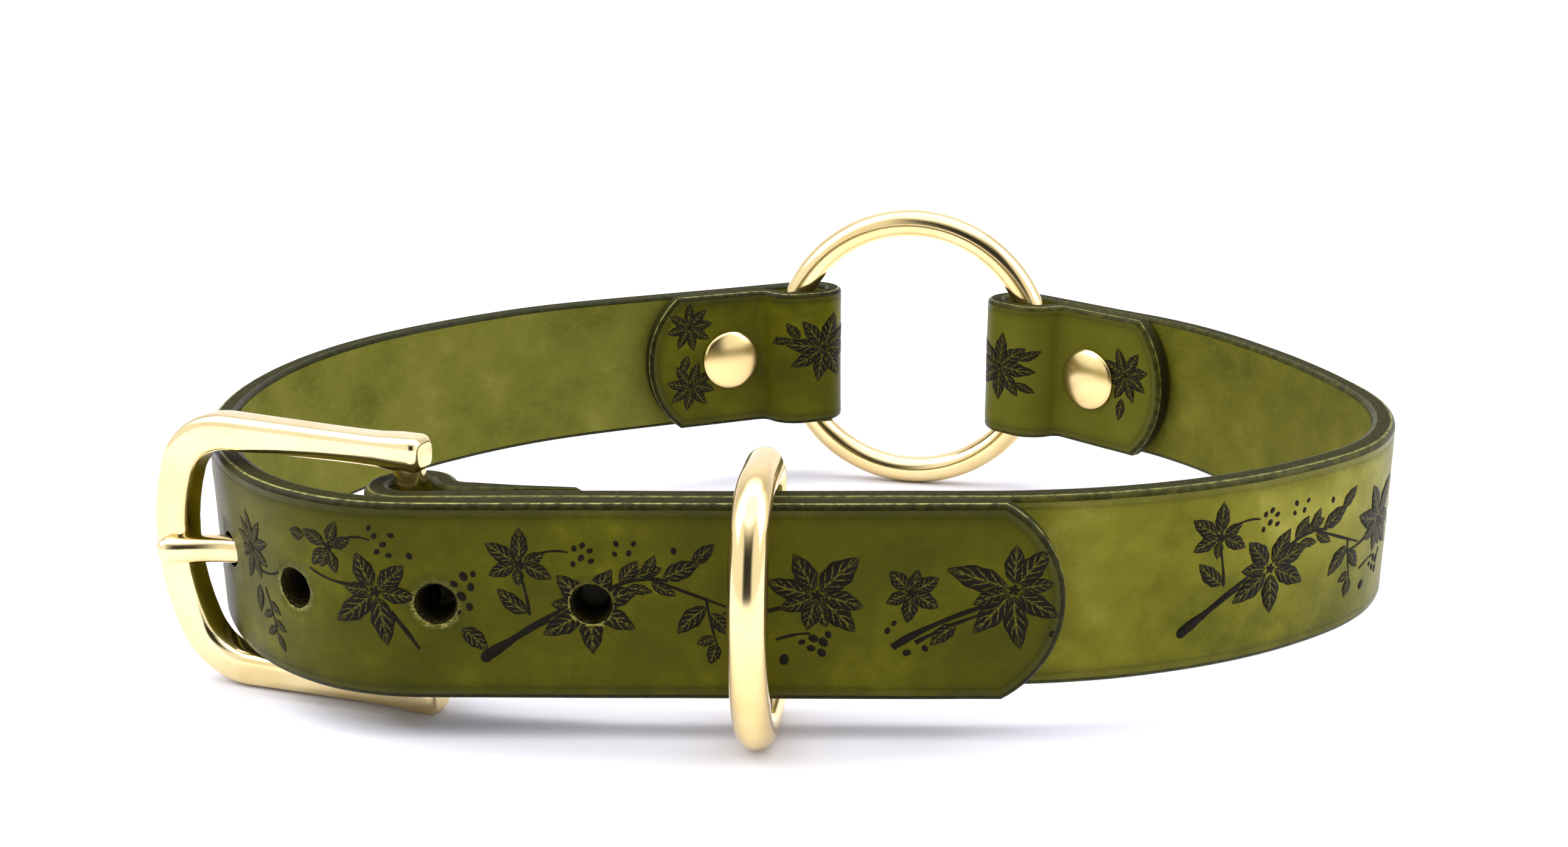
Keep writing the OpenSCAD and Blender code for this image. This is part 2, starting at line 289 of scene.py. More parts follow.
def wire(run, width, through=None, power=2.0, sides=40, fine=5.0, length_step=3.0, closed=False,
         start=Matrix.Identity(4)):
    """Metal wire drawn along a flat run of (length, turn) steps, headed along X at the start.

    width(d) and through(d) give its half sizes in the run's plane and across it at distance d.
    """
    through = through or width
    bm = bmesh.new()
    ring = bmesh.ops.create_circle(bm, cap_ends=False, segments=sides, radius=1.0,
                                   matrix=Matrix.Rotation(math.radians(90), 4, "Y"))["verts"]
    squarish(bm, ring, power)
    here = start.copy()
    bmesh.ops.scale(bm, vec=(1, width(0), through(0)), verts=ring)
    bmesh.ops.transform(bm, matrix=here, verts=ring)
    edges = list(bm.edges)
    if not closed:
        bmesh.ops.contextual_create(bm, geom=edges)
    done = 0.0
    for length, turn in run:
        n = max(1, math.ceil(abs(turn) / fine) if abs(turn) > 5 else math.ceil(length / length_step))
        x, y, h = step_end((0, 0, 0), (length / n, turn / n))
        move = Matrix.Translation((x, y, 0)) @ Matrix.Rotation(math.radians(h), 4, "Z")
        for _ in range(n):
            made = bmesh.ops.extrude_edge_only(bm, edges=edges)["geom"]
            ring = [g for g in made if isinstance(g, bmesh.types.BMVert)]
            edges = [g for g in made if isinstance(g, bmesh.types.BMEdge)]
            after = here @ move
            bmesh.ops.transform(bm, matrix=after @ here.inverted(), verts=ring)
            ahead = done + length / n
            bmesh.ops.scale(bm, vec=(1, width(ahead) / width(done), through(ahead) / through(done)),
                            space=after.inverted(), verts=ring)
            here, done = after, ahead
    if closed:
        bmesh.ops.remove_doubles(bm, verts=bm.verts, dist=0.02)
    else:
        bmesh.ops.contextual_create(bm, geom=edges)
    bmesh.ops.recalc_face_normals(bm, faces=bm.faces)
    return bm


def joined(one, *others):
    """Adds other bmeshes to the first."""
    for other, matrix in others:
        mesh = to_mesh(other, "part")
        mesh.transform(matrix)
        one.from_mesh(mesh)
        bpy.data.meshes.remove(mesh)
    return one


# ---------------------------------------------------------------- material helpers


class Nodes:
    """Short names for building a node tree, in a material or in a group."""

    def __init__(self, tree):
        self.tree = tree

    def put(self, socket, value):
        if isinstance(value, bpy.types.NodeSocket):
            self.tree.links.new(value, socket)
        elif socket.type == "RGBA" and len(value) == 3:
            socket.default_value = (*value, 1.0)
        else:
            socket.default_value = value

    def math(self, op, a, b=0.0):
        node = self.tree.nodes.new("ShaderNodeMath")
        node.operation = op
        for socket, value in zip(node.inputs, (a, b, 0.0)):
            self.put(socket, value)
        return node.outputs[0]

    def add(self, a, b):
        return self.math("ADD", a, b)

    def take(self, a, b):
        return self.math("SUBTRACT", a, b)

    def times(self, a, b):
        return self.math("MULTIPLY", a, b)

    def size(self, a):
        return self.math("ABSOLUTE", a)

    def vmath(self, op, a, b=(0, 0, 0)):
        node = self.tree.nodes.new("ShaderNodeVectorMath")
        node.operation = op
        self.put(node.inputs[0], a)
        self.put(node.inputs[1], b)
        return node.outputs["Value"] if op in ("LENGTH", "DISTANCE") else node.outputs[0]

    def attribute(self, name):
        node = self.tree.nodes.new("ShaderNodeAttribute")
        node.attribute_name = name
        return node.outputs["Vector"]

    def split(self, vector):
        node = self.tree.nodes.new("ShaderNodeSeparateXYZ")
        self.put(node.inputs[0], vector)
        return node.outputs[0], node.outputs[1], node.outputs[2]

    def join(self, x, y, z=0.0):
        node = self.tree.nodes.new("ShaderNodeCombineXYZ")
        for socket, value in zip(node.inputs, (x, y, z)):
            self.put(socket, value)
        return node.outputs[0]

    def noise(self, vector, scale, detail=2.0, rough=0.5, distortion=0.0):
        node = self.tree.nodes.new("ShaderNodeTexNoise")
        values = {"Vector": vector, "Scale": scale, "Detail": detail, "Roughness": rough, "Distortion": distortion}
        for key, value in values.items():
            self.put(node.inputs[key], value)
        return node.outputs[0]

    def cells(self, vector, scale):
        node = self.tree.nodes.new("ShaderNodeTexVoronoi")
        self.put(node.inputs["Vector"], vector)
        self.put(node.inputs["Scale"], scale)
        return node.outputs["Distance"]

    def span(self, value, low, high, to_low=0.0, to_high=1.0):
        node = self.tree.nodes.new("ShaderNodeMapRange")
        node.interpolation_type = "SMOOTHSTEP"
        for socket, v in zip(node.inputs, (value, low, high, to_low, to_high)):
            self.put(socket, v)
        return node.outputs[0]

    def mix(self, share, one, two):
        node = self.tree.nodes.new("ShaderNodeMix")
        node.data_type = "RGBA"
        self.put(node.inputs[0], share)
        self.put(node.inputs[6], one)
        self.put(node.inputs[7], two)
        return node.outputs[2]

    def bump(self, height, distance, strength=1.0, normal=None):
        node = self.tree.nodes.new("ShaderNodeBump")
        self.put(node.inputs["Strength"], strength)
        self.put(node.inputs["Distance"], distance)
        self.put(node.inputs["Height"], height)
        if normal is not None:
            self.put(node.inputs["Normal"], normal)
        return node.outputs[0]

    def use(self, group, **values):
        """Places a finish group, and returns its outputs by name."""
        node = self.tree.nodes.new("ShaderNodeGroup")
        node.node_tree = group
        for key, value in values.items():
            self.put(node.inputs[key.replace("_", " ")], value)
        return {socket.name: socket for socket in node.outputs}


def finish_group(name, inputs, outputs):
    """A shader node group with named sockets. Returns the group, its builder, inputs and output node."""
    tree = bpy.data.node_groups.new(name, "ShaderNodeTree")
    kinds = {"vector": "NodeSocketVector", "colour": "NodeSocketColor", "value": "NodeSocketFloat"}
    for key, kind in inputs:
        tree.interface.new_socket(name=key, in_out="INPUT", socket_type=kinds[kind])
    for key, kind in outputs:
        tree.interface.new_socket(name=key, in_out="OUTPUT", socket_type=kinds[kind])
    entry = tree.nodes.new("NodeGroupInput")
    leave = tree.nodes.new("NodeGroupOutput")
    return tree, Nodes(tree), {s.name: s for s in entry.outputs}, leave


def finish(name, **values):
    """A material with one Principled shader. Returns the material and its node builder."""
    mat = bpy.data.materials.new(name)
    mat.use_nodes = True
    mat.node_tree.nodes.clear()
    n = Nodes(mat.node_tree)
    out = n.tree.nodes.new("ShaderNodeOutputMaterial")
    bsdf = n.tree.nodes.new("ShaderNodeBsdfPrincipled")
    n.tree.links.new(bsdf.outputs[0], out.inputs[0])

    def set_(**more):
        for key, value in more.items():
            n.put(bsdf.inputs[key.replace("_", " ")], value)

    n.set = set_
    set_(**values)
    return mat, n


def paint(r, g, b):
    """A colour given as 0 to 255 display values."""
    shares = (c / 255 for c in (r, g, b))
    return tuple(c / 12.92 if c <= 0.04045 else ((c + 0.055) / 1.055) ** 2.4 for c in shares)


# ---------------------------------------------------------------- finish groups


def build_dye_group():
    """Hand-rubbed dye: broad clouds, soft mottling and fine speckle."""
    tree, n, i, leave = finish_group(
        "rubbed_dye",
        [("Place", "vector"), ("Deep", "colour"), ("Body", "colour"), ("Pale", "colour")],
        [("Colour", "colour"), ("Speck", "value")],
    )
    cloud = n.noise(i["Place"], 0.05, 2.0, 0.5, 0.3)
    mottle = n.noise(i["Place"], 0.22, 3.0, 0.6, 0.2)
    speck = n.noise(i["Place"], 3.2, 3.0, 0.75)
    pore = n.noise(i["Place"], 7.5, 2.0, 0.6)
    tone = n.add(n.times(cloud, 0.50), n.times(mottle, 0.28))
    tone = n.add(tone, n.times(speck, 0.14))
    tone = n.add(tone, n.times(pore, 0.08))
    colour = n.mix(n.span(tone, 0.34, 0.52), i["Deep"], i["Body"])
    colour = n.mix(n.span(tone, 0.49, 0.68), colour, i["Pale"])
    n.put(leave.inputs["Colour"], colour)
    n.put(leave.inputs["Speck"], speck)
    return tree


def build_grain_group():
    """Full-grain surface: tiny pebbles with hair pores between them."""
    tree, n, i, leave = finish_group(
        "full_grain", [("Place", "vector"), ("Strength", "value")], [("Normal", "vector")])
    pebble = n.times(n.cells(i["Place"], 1.7), 0.35)
    height = n.add(pebble, n.times(n.noise(i["Place"], 3.4, 3.0, 0.6), 0.65))
    n.put(leave.inputs["Normal"], n.bump(height, 0.00007, i["Strength"]))
    return tree


def build_rim_group():
    """How far a spot is from the strap's outline, from its flat pattern."""
    tree, n, i, leave = finish_group(
        "outline_distance",
        [("Place", "vector"), ("Half width", "value"), ("Flap centre", "value"), ("Tip radius", "value")],
        [("Distance", "value")],
    )
    s, z, _ = n.split(i["Place"])
    side = n.take(i["Half width"], n.size(z))
    past = n.math("MAXIMUM", n.take(s, i["Flap centre"]), 0.0)
    flap = n.take(FLAP_R, n.vmath("LENGTH", n.join(past, z)))
    short = n.math("MINIMUM", n.take(s, i["Tip radius"]), 0.0)
    front = n.take(i["Tip radius"], n.vmath("LENGTH", n.join(short, z)))
    front = n.add(front, n.times(n.math("LESS_THAN", i["Tip radius"], 0.1), 99.0))
    n.put(leave.inputs["Distance"], n.math("MINIMUM", n.math("MINIMUM", side, flap), front))
    return tree


def build_fibre_group():
    """Cut fibres, drawn out along the strap."""
    tree, n, i, leave = finish_group(
        "cut_fibre", [("Place", "vector")], [("Fibre", "value"), ("Clump", "value")])
    drawn = n.vmath("MULTIPLY", i["Place"], (0.45, 1.2, 3.0))
    n.put(leave.inputs["Fibre"], n.noise(drawn, 3.4, 5.0, 0.8, 0.5))
    n.put(leave.inputs["Clump"], n.noise(i["Place"], 0.8, 3.0, 0.6))
    return tree


def build_brass_group():
    """Handled brass: smudges, hairlines and the slight ripple of a polished casting."""
    tree, n, i, leave = finish_group(
        "handled_brass",
        [("Tone", "colour"), ("Shade", "colour"), ("Gloss", "value"), ("Offset", "vector")],
        [("Colour", "colour"), ("Roughness", "value"), ("Normal", "vector")],
    )
    where = n.vmath("ADD", n.tree.nodes.new("ShaderNodeTexCoord").outputs["Object"], i["Offset"])
    smudge = n.noise(where, 95.0, 3.0, 0.6)
    hair = n.noise(n.vmath("MULTIPLY", where, (1, 1, 7)), 900.0, 2.0, 0.6)
    n.put(leave.inputs["Colour"], n.mix(n.span(smudge, 0.35, 0.72), i["Tone"], i["Shade"]))
    rough = n.add(i["Gloss"], n.span(smudge, 0.35, 0.75, 0.0, 0.05))
    n.put(leave.inputs["Roughness"], n.add(rough, n.times(hair, 0.03)))
    ripple = n.bump(n.noise(where, 230.0, 2.0, 0.5), 0.00004, 0.35)
    n.put(leave.inputs["Normal"], n.bump(hair, 0.00001, 0.25, ripple))
    return tree


DYE = build_dye_group()
GRAIN = build_grain_group()
RIM = build_rim_group()
FIBRE = build_fibre_group()
BRASS = build_brass_group()

# ---------------------------------------------------------------- finishes


def leather_grain(name, deep, body, pale, burnt, strap, shift, holes=(), shaded=(), fold=(1e4, 2e4)):
    """Dyed grain side, darker along its rims, with raw fibre round each punched hole. Painted shade darkens it over
    the stretch given as fold, and near-black painted shade fills the spots given as shaded.
    """
    mat, n = finish(name, Specular_IOR_Level=0.06, Coat_Roughness=0.22, Sheen_Weight=0.08, Sheen_Roughness=0.35)
    flat = n.attribute("flat")
    s, z, _ = n.split(flat)
    dye = n.use(DYE, Place=n.vmath("ADD", flat, (shift, shift, 0)), Deep=deep, Body=body, Pale=pale)
    # Painted shade: over the fold stretch the colour darkens towards the deep colour, standing in for the shade on
    # the flap
    dye_with_fold_shade = n.mix(n.span(s, *fold, 0.0, 0.85), dye["Colour"], deep)
    rim = n.use(RIM, Place=flat, Half_width=strap.width / 2, Flap_centre=strap.length - FLAP_R,
                Tip_radius=float(strap.tip))["Distance"]
    fibre = n.use(FIBRE, Place=flat)
    stray = n.times(n.take(fibre["Clump"], 0.5), 0.5)
    line = n.size(n.take(rim, n.add(1.62, stray)))
    line = n.take(1.0, n.span(line, 0.0, 0.38))
    colour = n.mix(n.span(rim, 0.7, 3.4, 0.42, 0.0), dye_with_fold_shade, burnt)
    colour = n.mix(n.times(line, 0.22), colour, burnt)
    for hs, hz in holes:
        far = n.vmath("DISTANCE", n.join(s, z), (hs, hz, 0))
        lower = n.add(n.take(z, hz), n.times(n.take(s, hs), -0.6))
        lower = n.span(lower, -2.4, 2.0, 1.0, 0.25)
        torn = n.span(n.take(far, n.times(fibre["Clump"], 1.3)), 1.9, 2.9, 1.0, 0.0)
        torn = n.times(torn, lower)
        torn = n.times(torn, n.span(fibre["Fibre"], 0.42, 0.56))
        colour = n.mix(n.span(far, 2.6, 4.6, 0.4, 0.0), colour, burnt)
        colour = n.mix(torn, colour, paint(146, 140, 76))
    # Painted shade: near-black spots where this strap lies behind holes in the other strap
    for hs, hz in shaded:
        far = n.vmath("DISTANCE", n.join(s, z), (hs, hz, 0))
        colour = n.mix(n.span(far, 2.4, 4.0, 0.96, 0.0), colour, paint(10, 9, 3))
    grain = n.use(GRAIN, Place=flat, Strength=0.6)["Normal"]
    n.set(
        Base_Color=colour,
        Roughness=n.span(dye["Speck"], 0.3, 0.7, 0.34, 0.50),
        Normal=n.bump(n.times(line, -1.0), 0.00015, 0.45, grain),
        Coat_Weight=n.span(rim, 0.5, 1.8, 0.2, 0.0),
    )
    return mat


def leather_flesh(name, deep, body, pale, shift):
    """Sealed flesh side, with a short nap."""
    mat, n = finish(name, Specular_IOR_Level=0.08)
    flat = n.attribute("flat")
    dye = n.use(DYE, Place=n.vmath("ADD", flat, (shift, 0, 0)), Deep=deep, Body=body, Pale=pale)
    nap = n.noise(n.vmath("MULTIPLY", flat, (0.5, 1, 1)), 1.6, 4.0, 0.7)
    n.set(
        Base_Color=n.mix(n.span(nap, 0.35, 0.75, 0.0, 0.3), dye["Colour"], pale),
        Roughness=n.span(nap, 0.3, 0.7, 0.58, 0.7),
        Normal=n.bump(n.noise(flat, 2.2, 4.0, 0.7), 0.00018, 0.5),
    )
    return mat


def leather_rim(name, skin, skin_light, core, core_light, worn, grain_side, shift):
    """Burnished corners round a fibrous cut edge, with a pale line painted along the outer corner as its highlight.
    """
    mat, n = finish(name, Specular_IOR_Level=0.08)
    flat = n.attribute("flat")
    t = n.split(flat)[2]
    fibre = n.use(FIBRE, Place=n.vmath("ADD", flat, (shift, 0, 0)))
    off_middle = n.add(n.size(t), n.times(fibre["Clump"], 0.35))
    middle = n.span(off_middle, 0.85, 1.2, 1.0, 0.0)
    rough = n.mix(n.span(fibre["Fibre"], 0.40, 0.68), core, core_light)
    burnish = n.mix(n.span(fibre["Clump"], 0.35, 0.7), skin, skin_light)
    # Painted highlight: a pale line in the worn colour along the outer corner of the edge
    corner = n.take(n.times(t, grain_side), n.add(0.96, n.times(fibre["Clump"], 0.16)))
    near_corner = n.span(n.size(corner), 0.05, 0.19, 0.9, 0.0)
    corner_highlight = n.times(near_corner, n.span(fibre["Clump"], 0.34, 0.60, 0.15, 1.0))
    n.set(
        Base_Color=n.mix(corner_highlight, n.mix(middle, burnish, rough), worn),
        Roughness=n.add(n.times(middle, 0.4), 0.34),
        Normal=n.bump(fibre["Fibre"], 0.00028, n.add(n.times(middle, 0.75), 0.15)),
    )
    return mat


def leather_hole(name):
    """Dark torn fibre inside a punched hole, with near-black painted shade deeper in, towards the flesh side."""
    mat, n = finish(name, Specular_IOR_Level=0.05)
    flat = n.attribute("flat")
    fibre = n.use(FIBRE, Place=flat)["Fibre"]
    t = n.split(flat)[2]
    colour = n.mix(n.span(fibre, 0.45, 0.72), paint(14, 12, 3), paint(96, 88, 34))
    # Painted shade: the wall turns near-black towards the flesh side, deeper in the hole
    deep = n.span(t, -1.2, 1.5, 0.0, 1.0)
    n.set(Base_Color=n.mix(deep, paint(6, 5, 2), colour), Roughness=0.9, Normal=n.bump(fibre, 0.0003, 0.9))
    return mat


def ink(name, base, shift):
    """Printed ink with lighter veins left open in each leaf: u runs along it and v across."""
    mat, n = finish(name, Specular_IOR_Level=0.06, Roughness=0.5)
    u, v, kind = n.split(n.attribute("leaf"))
    flat = n.attribute("flat")
    across = n.size(v)
    rib = n.take(1.0, n.span(across, 0.04, 0.16))
    comb = n.math("FRACT", n.take(n.times(u, 5.0), n.times(across, 1.6)))
    side = n.take(1.0, n.span(n.size(n.take(comb, 0.5)), 0.05, 0.17))
    side = n.times(side, n.span(across, 0.92, 0.6))
    vein = n.times(n.math("MAXIMUM", rib, side), kind)
    broken = n.span(n.noise(flat, 4.6, 3.0, 0.75), 0.40, 0.58)
    worn = n.span(n.noise(n.vmath("ADD", flat, (shift, 5, 0)), 5.0, 3.0, 0.8), 0.62, 0.74, 0.0, 0.75)
    open_ = n.math("MAXIMUM", n.times(n.times(vein, broken), 0.68), worn)
    n.set(Base_Color=n.mix(open_, paint(20, 17, 9), base), Normal=n.use(GRAIN, Place=flat, Strength=0.6)["Normal"])
    return mat


def brass(name, tone, shade, gloss, offset):
    mat, n = finish(name, Metallic=1.0)
    worn = n.use(BRASS, Tone=tone, Shade=shade, Gloss=gloss, Offset=offset)
    n.set(Base_Color=worn["Colour"], Roughness=worn["Roughness"], Normal=worn["Normal"])
    return mat


tongue_grain = leather_grain("tongue_grain", paint(56, 57, 2), paint(72, 70, 2), paint(99, 97, 8), paint(29, 29, 2),
                             TONGUE, 11.0, [(s, 0.0) for s in HOLES])
# The buckle strap gets near-black painted shade behind the tongue's two holes, and painted shade over its flap by the
# ring
buckle_grain = leather_grain("buckle_grain", paint(78, 78, 10), paint(108, 104, 24), paint(140, 136, 54),
                             paint(44, 44, 6), BUCKLE, 57.0, (), [(HEEL_S + 23.4, 0.0), (HEEL_S + 4.4, 0.0)],
                             (BUCKLE_RING_S - 20, BUCKLE_RING_S + 8))
tongue_flesh = leather_flesh("tongue_flesh", paint(78, 78, 18), paint(97, 96, 30), paint(118, 116, 48), 31.0)
buckle_flesh = leather_flesh("buckle_flesh", paint(66, 66, 10), paint(86, 84, 18), paint(112, 108, 38), 77.0)
# The fifth colour of each rim is its painted highlight along the outer corner
tongue_rim = leather_rim("tongue_rim", paint(26, 26, 3), paint(42, 42, 8), paint(26, 26, 4), paint(70, 68, 20),
                         paint(146, 144, 82), 1.0, 3.0)
buckle_rim = leather_rim("buckle_rim", paint(38, 38, 5), paint(62, 61, 14), paint(18, 18, 4), paint(76, 74, 26),
                         paint(120, 117, 58), -1.0, 45.0)
hole_wall = leather_hole("hole_wall")
print_ink = ink("print_ink", paint(112, 106, 30), 4.0)
buckle_brass = brass("buckle_brass", paint(243, 224, 170), paint(232, 207, 146), 0.11, (3, 0, 0))
ring_brass = brass("ring_brass", paint(243, 220, 162), paint(233, 205, 142), 0.12, (9, 0, 0))
rivet_brass = brass("rivet_brass", paint(244, 218, 154), paint(236, 206, 140), 0.20, (5, 0, 0))

# ---------------------------------------------------------------- straps


def arc_points(bm, first, centre, angle, steps):
    """Spins one vertex about a centre, and returns the last one made."""
    made = bmesh.ops.spin(bm, geom=[first], cent=(*centre, 0), axis=(0, 0, 1), angle=math.radians(angle), steps=steps)
    return next(g for g in made["geom_last"] if isinstance(g, bmesh.types.BMVert))


def strap_blank(strap):
    """The strap's flat outline, x along it and y across, with rolled corners."""
    bm = bmesh.new()
    half = strap.width / 2
    lean = math.degrees(math.asin(half / FLAP_R))
    centre = strap.length - FLAP_R
    low = bm.verts.new((centre + FLAP_R * math.cos(math.radians(lean)), -half, 0))
    high = arc_points(bm, low, (centre, 0), 2 * lean, 26)
    if strap.tip:
        lean = math.degrees(math.asin(half / strap.tip))
        back_high = bm.verts.new((strap.tip - strap.tip * math.cos(math.radians(lean)), half, 0))
        bm.edges.new((high, back_high))
        back_low = arc_points(bm, back_high, (strap.tip, 0), 2 * lean, 30)
    else:
        last = high
        square_end = [(3.0, half), (0.8, half - 1.2), (0.0, half - 3.4)]
        for x, y in square_end + [(x, -y) for x, y in reversed(square_end)]:
            nxt = bm.verts.new((x, y, 0))
            bm.edges.new((last, nxt))
            last = nxt
        back_low = last
    bm.edges.new((back_low, low))
    bmesh.ops.contextual_create(bm, geom=bm.edges[:])
    bmesh.ops.translate(bm, vec=(0, 0, -HALF), verts=bm.verts)
    up = bmesh.ops.extrude_face_region(bm, geom=bm.faces[:])["geom"]
    bmesh.ops.translate(bm, vec=(0, 0, LEATHER), verts=[g for g in up if isinstance(g, bmesh.types.BMVert)])
    bmesh.ops.recalc_face_normals(bm, faces=bm.faces)
    rims = [e for e in bm.edges if abs(e.verts[0].co.z - e.verts[1].co.z) < 1e-6]
    bmesh.ops.bevel(bm, geom=rims, offset=BEVEL, offset_type="OFFSET", segments=3, profile=0.5, affect="EDGES",
                    material=-1, clamp_overlap=True)
    return to_mesh(bm, "blank")


def punch(s, z):
    """The punched hole, wider at the grain side and ragged."""
    bm = turned([(0, -HALF - 1), (1.75, -HALF - 1), (1.75, -HALF + 0.5), (HOLE_R, 0.2), (HOLE_R, HALF - 0.3),
                 (HOLE_R + 0.34, HALF + 0.06), (HOLE_R + 0.4, HALF + 1), (0, HALF + 1)], 44)
    for v in bm.verts:
        ragged = 1 + 0.035 * noise.noise(Vector((v.co.x * 1.1 + s, v.co.y * 1.1, v.co.z)))
        v.co.x, v.co.y = v.co.x * ragged, v.co.y * ragged
    bmesh.ops.translate(bm, vec=(s, z, 0), verts=bm.verts)
    return to_mesh(bm, "punch")


def slot_tool(low, high, half):
    """A round-ended slot through the leather."""
    bm = bmesh.new()
    bmesh.ops.create_cone(bm, cap_ends=True, segments=28, radius1=half, radius2=half, depth=LEATHER + 2)
    ahead = [v for v in bm.verts if v.co.x > 0.01]
    bmesh.ops.translate(bm, vec=(low + half, 0, 0), verts=bm.verts)
    bmesh.ops.translate(bm, vec=(high - low - 2 * half, 0, 0), verts=ahead)
    return to_mesh(bm, "slot")


def make_strap(name, strap, blank, spots):
    """Slices the flat blank across and along, then bends it along its run."""
    bm = bmesh.new()
    bm.from_mesh(blank)
    bmesh.ops.remove_doubles(bm, verts=bm.verts, dist=1e-4)
    for s in slices(strap.run):
        near = [f for f in bm.faces if min(v.co.x for v in f.verts) < s < max(v.co.x for v in f.verts)]
        geom = set(near)
        for f in near:
            geom.update(f.edges)
            geom.update(f.verts)
        bmesh.ops.bisect_plane(bm, geom=list(geom), plane_co=(s, 0, 0), plane_no=(1, 0, 0), dist=1e-5)
    near_rim = round(strap.width / 2 - 1.9, 3)
    for z in (-near_rim - 1.2, -near_rim, -8, -4, 0, 4, 8, near_rim, near_rim + 1.2):
        bmesh.ops.bisect_plane(bm, geom=bm.verts[:] + bm.edges[:] + bm.faces[:],
                               plane_co=(0, z, 0), plane_no=(0, 1, 0), dist=1e-5)
    bmesh.ops.triangulate(bm, faces=[f for f in bm.faces if len(f.verts) > 4])
    bm.normal_update()
    flat = bm.verts.layers.float_vector.new("flat")
    grain_up = not strap.heel
    for f in bm.faces:
        c = f.calc_center_median()
        f.smooth = True
        if abs(f.normal.z) > 0.97:
            f.material_index = 0 if (f.normal.z > 0) == grain_up else 1
        else:
            in_hole = any(math.hypot(c.x - s, c.y - z) < HOLE_R + 0.6 for s, z in spots)
            f.material_index = 3 if in_hole else 2
    for v in bm.verts:
        v[flat] = v.co.copy()
        v.co = strap.put(v.co.x, v.co.y, v.co.z)
    # Standing the flat strap up mirrors it, which turns its faces inwards
    bmesh.ops.reverse_faces(bm, faces=bm.faces)
    return to_mesh(bm, name)


def prong_cut():
    """The fourth hole, drawn out along the prong that lies in it."""
    bm = wire([(10.6, 0), (26 * math.radians(22), 22)], lambda d: 2.35, sides=32,
              start=at_heel(PRONG_ANGLE) @ Matrix.Translation((12, 0, 0)))
    mesh = to_mesh(bm, "prong_hole")
    mesh.materials.append(hole_wall)
    return mesh


def at_heel(angle):
    return Matrix.Translation((HEEL_X, HEEL_Y, 0)) @ Matrix.Rotation(math.radians(angle), 4, "Z")


def leather_object(name, mesh, slot_name, *nodes):
    # A sliver folded on itself at a hole's edge is dropped, so that the surface is closed
    bm = bmesh.new()
    bm.from_mesh(mesh)
    folded = {f for e in bm.edges if len(e.link_faces) > 2 for f in e.link_faces if f.calc_area() < 0.01}
    bmesh.ops.delete(bm, geom=list(folded), context="FACES")
    bm.to_mesh(mesh)
    bm.free()
    mesh.transform(TO_ROW)
    ob = link(name, mesh)
    mod = ob.modifiers.new("shading", "WEIGHTED_NORMAL")
    mod.mode = "FACE_AREA"
    mod.weight = 80
    mod.keep_sharp = False
    return finish_piece(ob, "straps", slot_name, *nodes)


tongue_blank = strap_blank(TONGUE)
for s in HOLES:
    tongue_blank = cut(tongue_blank, punch(s, 0.0))
tongue_mesh = make_strap("tongue_leather", TONGUE, tongue_blank, [(s, 0.0) for s in HOLES])
for m in (tongue_grain, tongue_flesh, tongue_rim, hole_wall):
    tongue_mesh.materials.append(m)
tongue_mesh = cut(tongue_mesh, prong_cut(), keep_finish=True)
leather_object("tongue_leather", tongue_mesh, "leather_tongue", "tongue_strap")

heel_turn = HEEL_S - bend(HEEL_MID, 180)[0]
buckle_blank = cut(strap_blank(BUCKLE), slot_tool(heel_turn - 4.6, HEEL_S + 4.3, 2.75))
buckle_mesh = make_strap("buckle_leather", BUCKLE, buckle_blank, [])
for m in (buckle_grain, buckle_flesh, buckle_rim, hole_wall):
    buckle_mesh.materials.append(m)
leather_object("buckle_leather", buckle_mesh, "leather_buckle", "buckle_strap")

# ---------------------------------------------------------------- botanical print

INK_RISE = 0.03
INK_THICK = 0.02


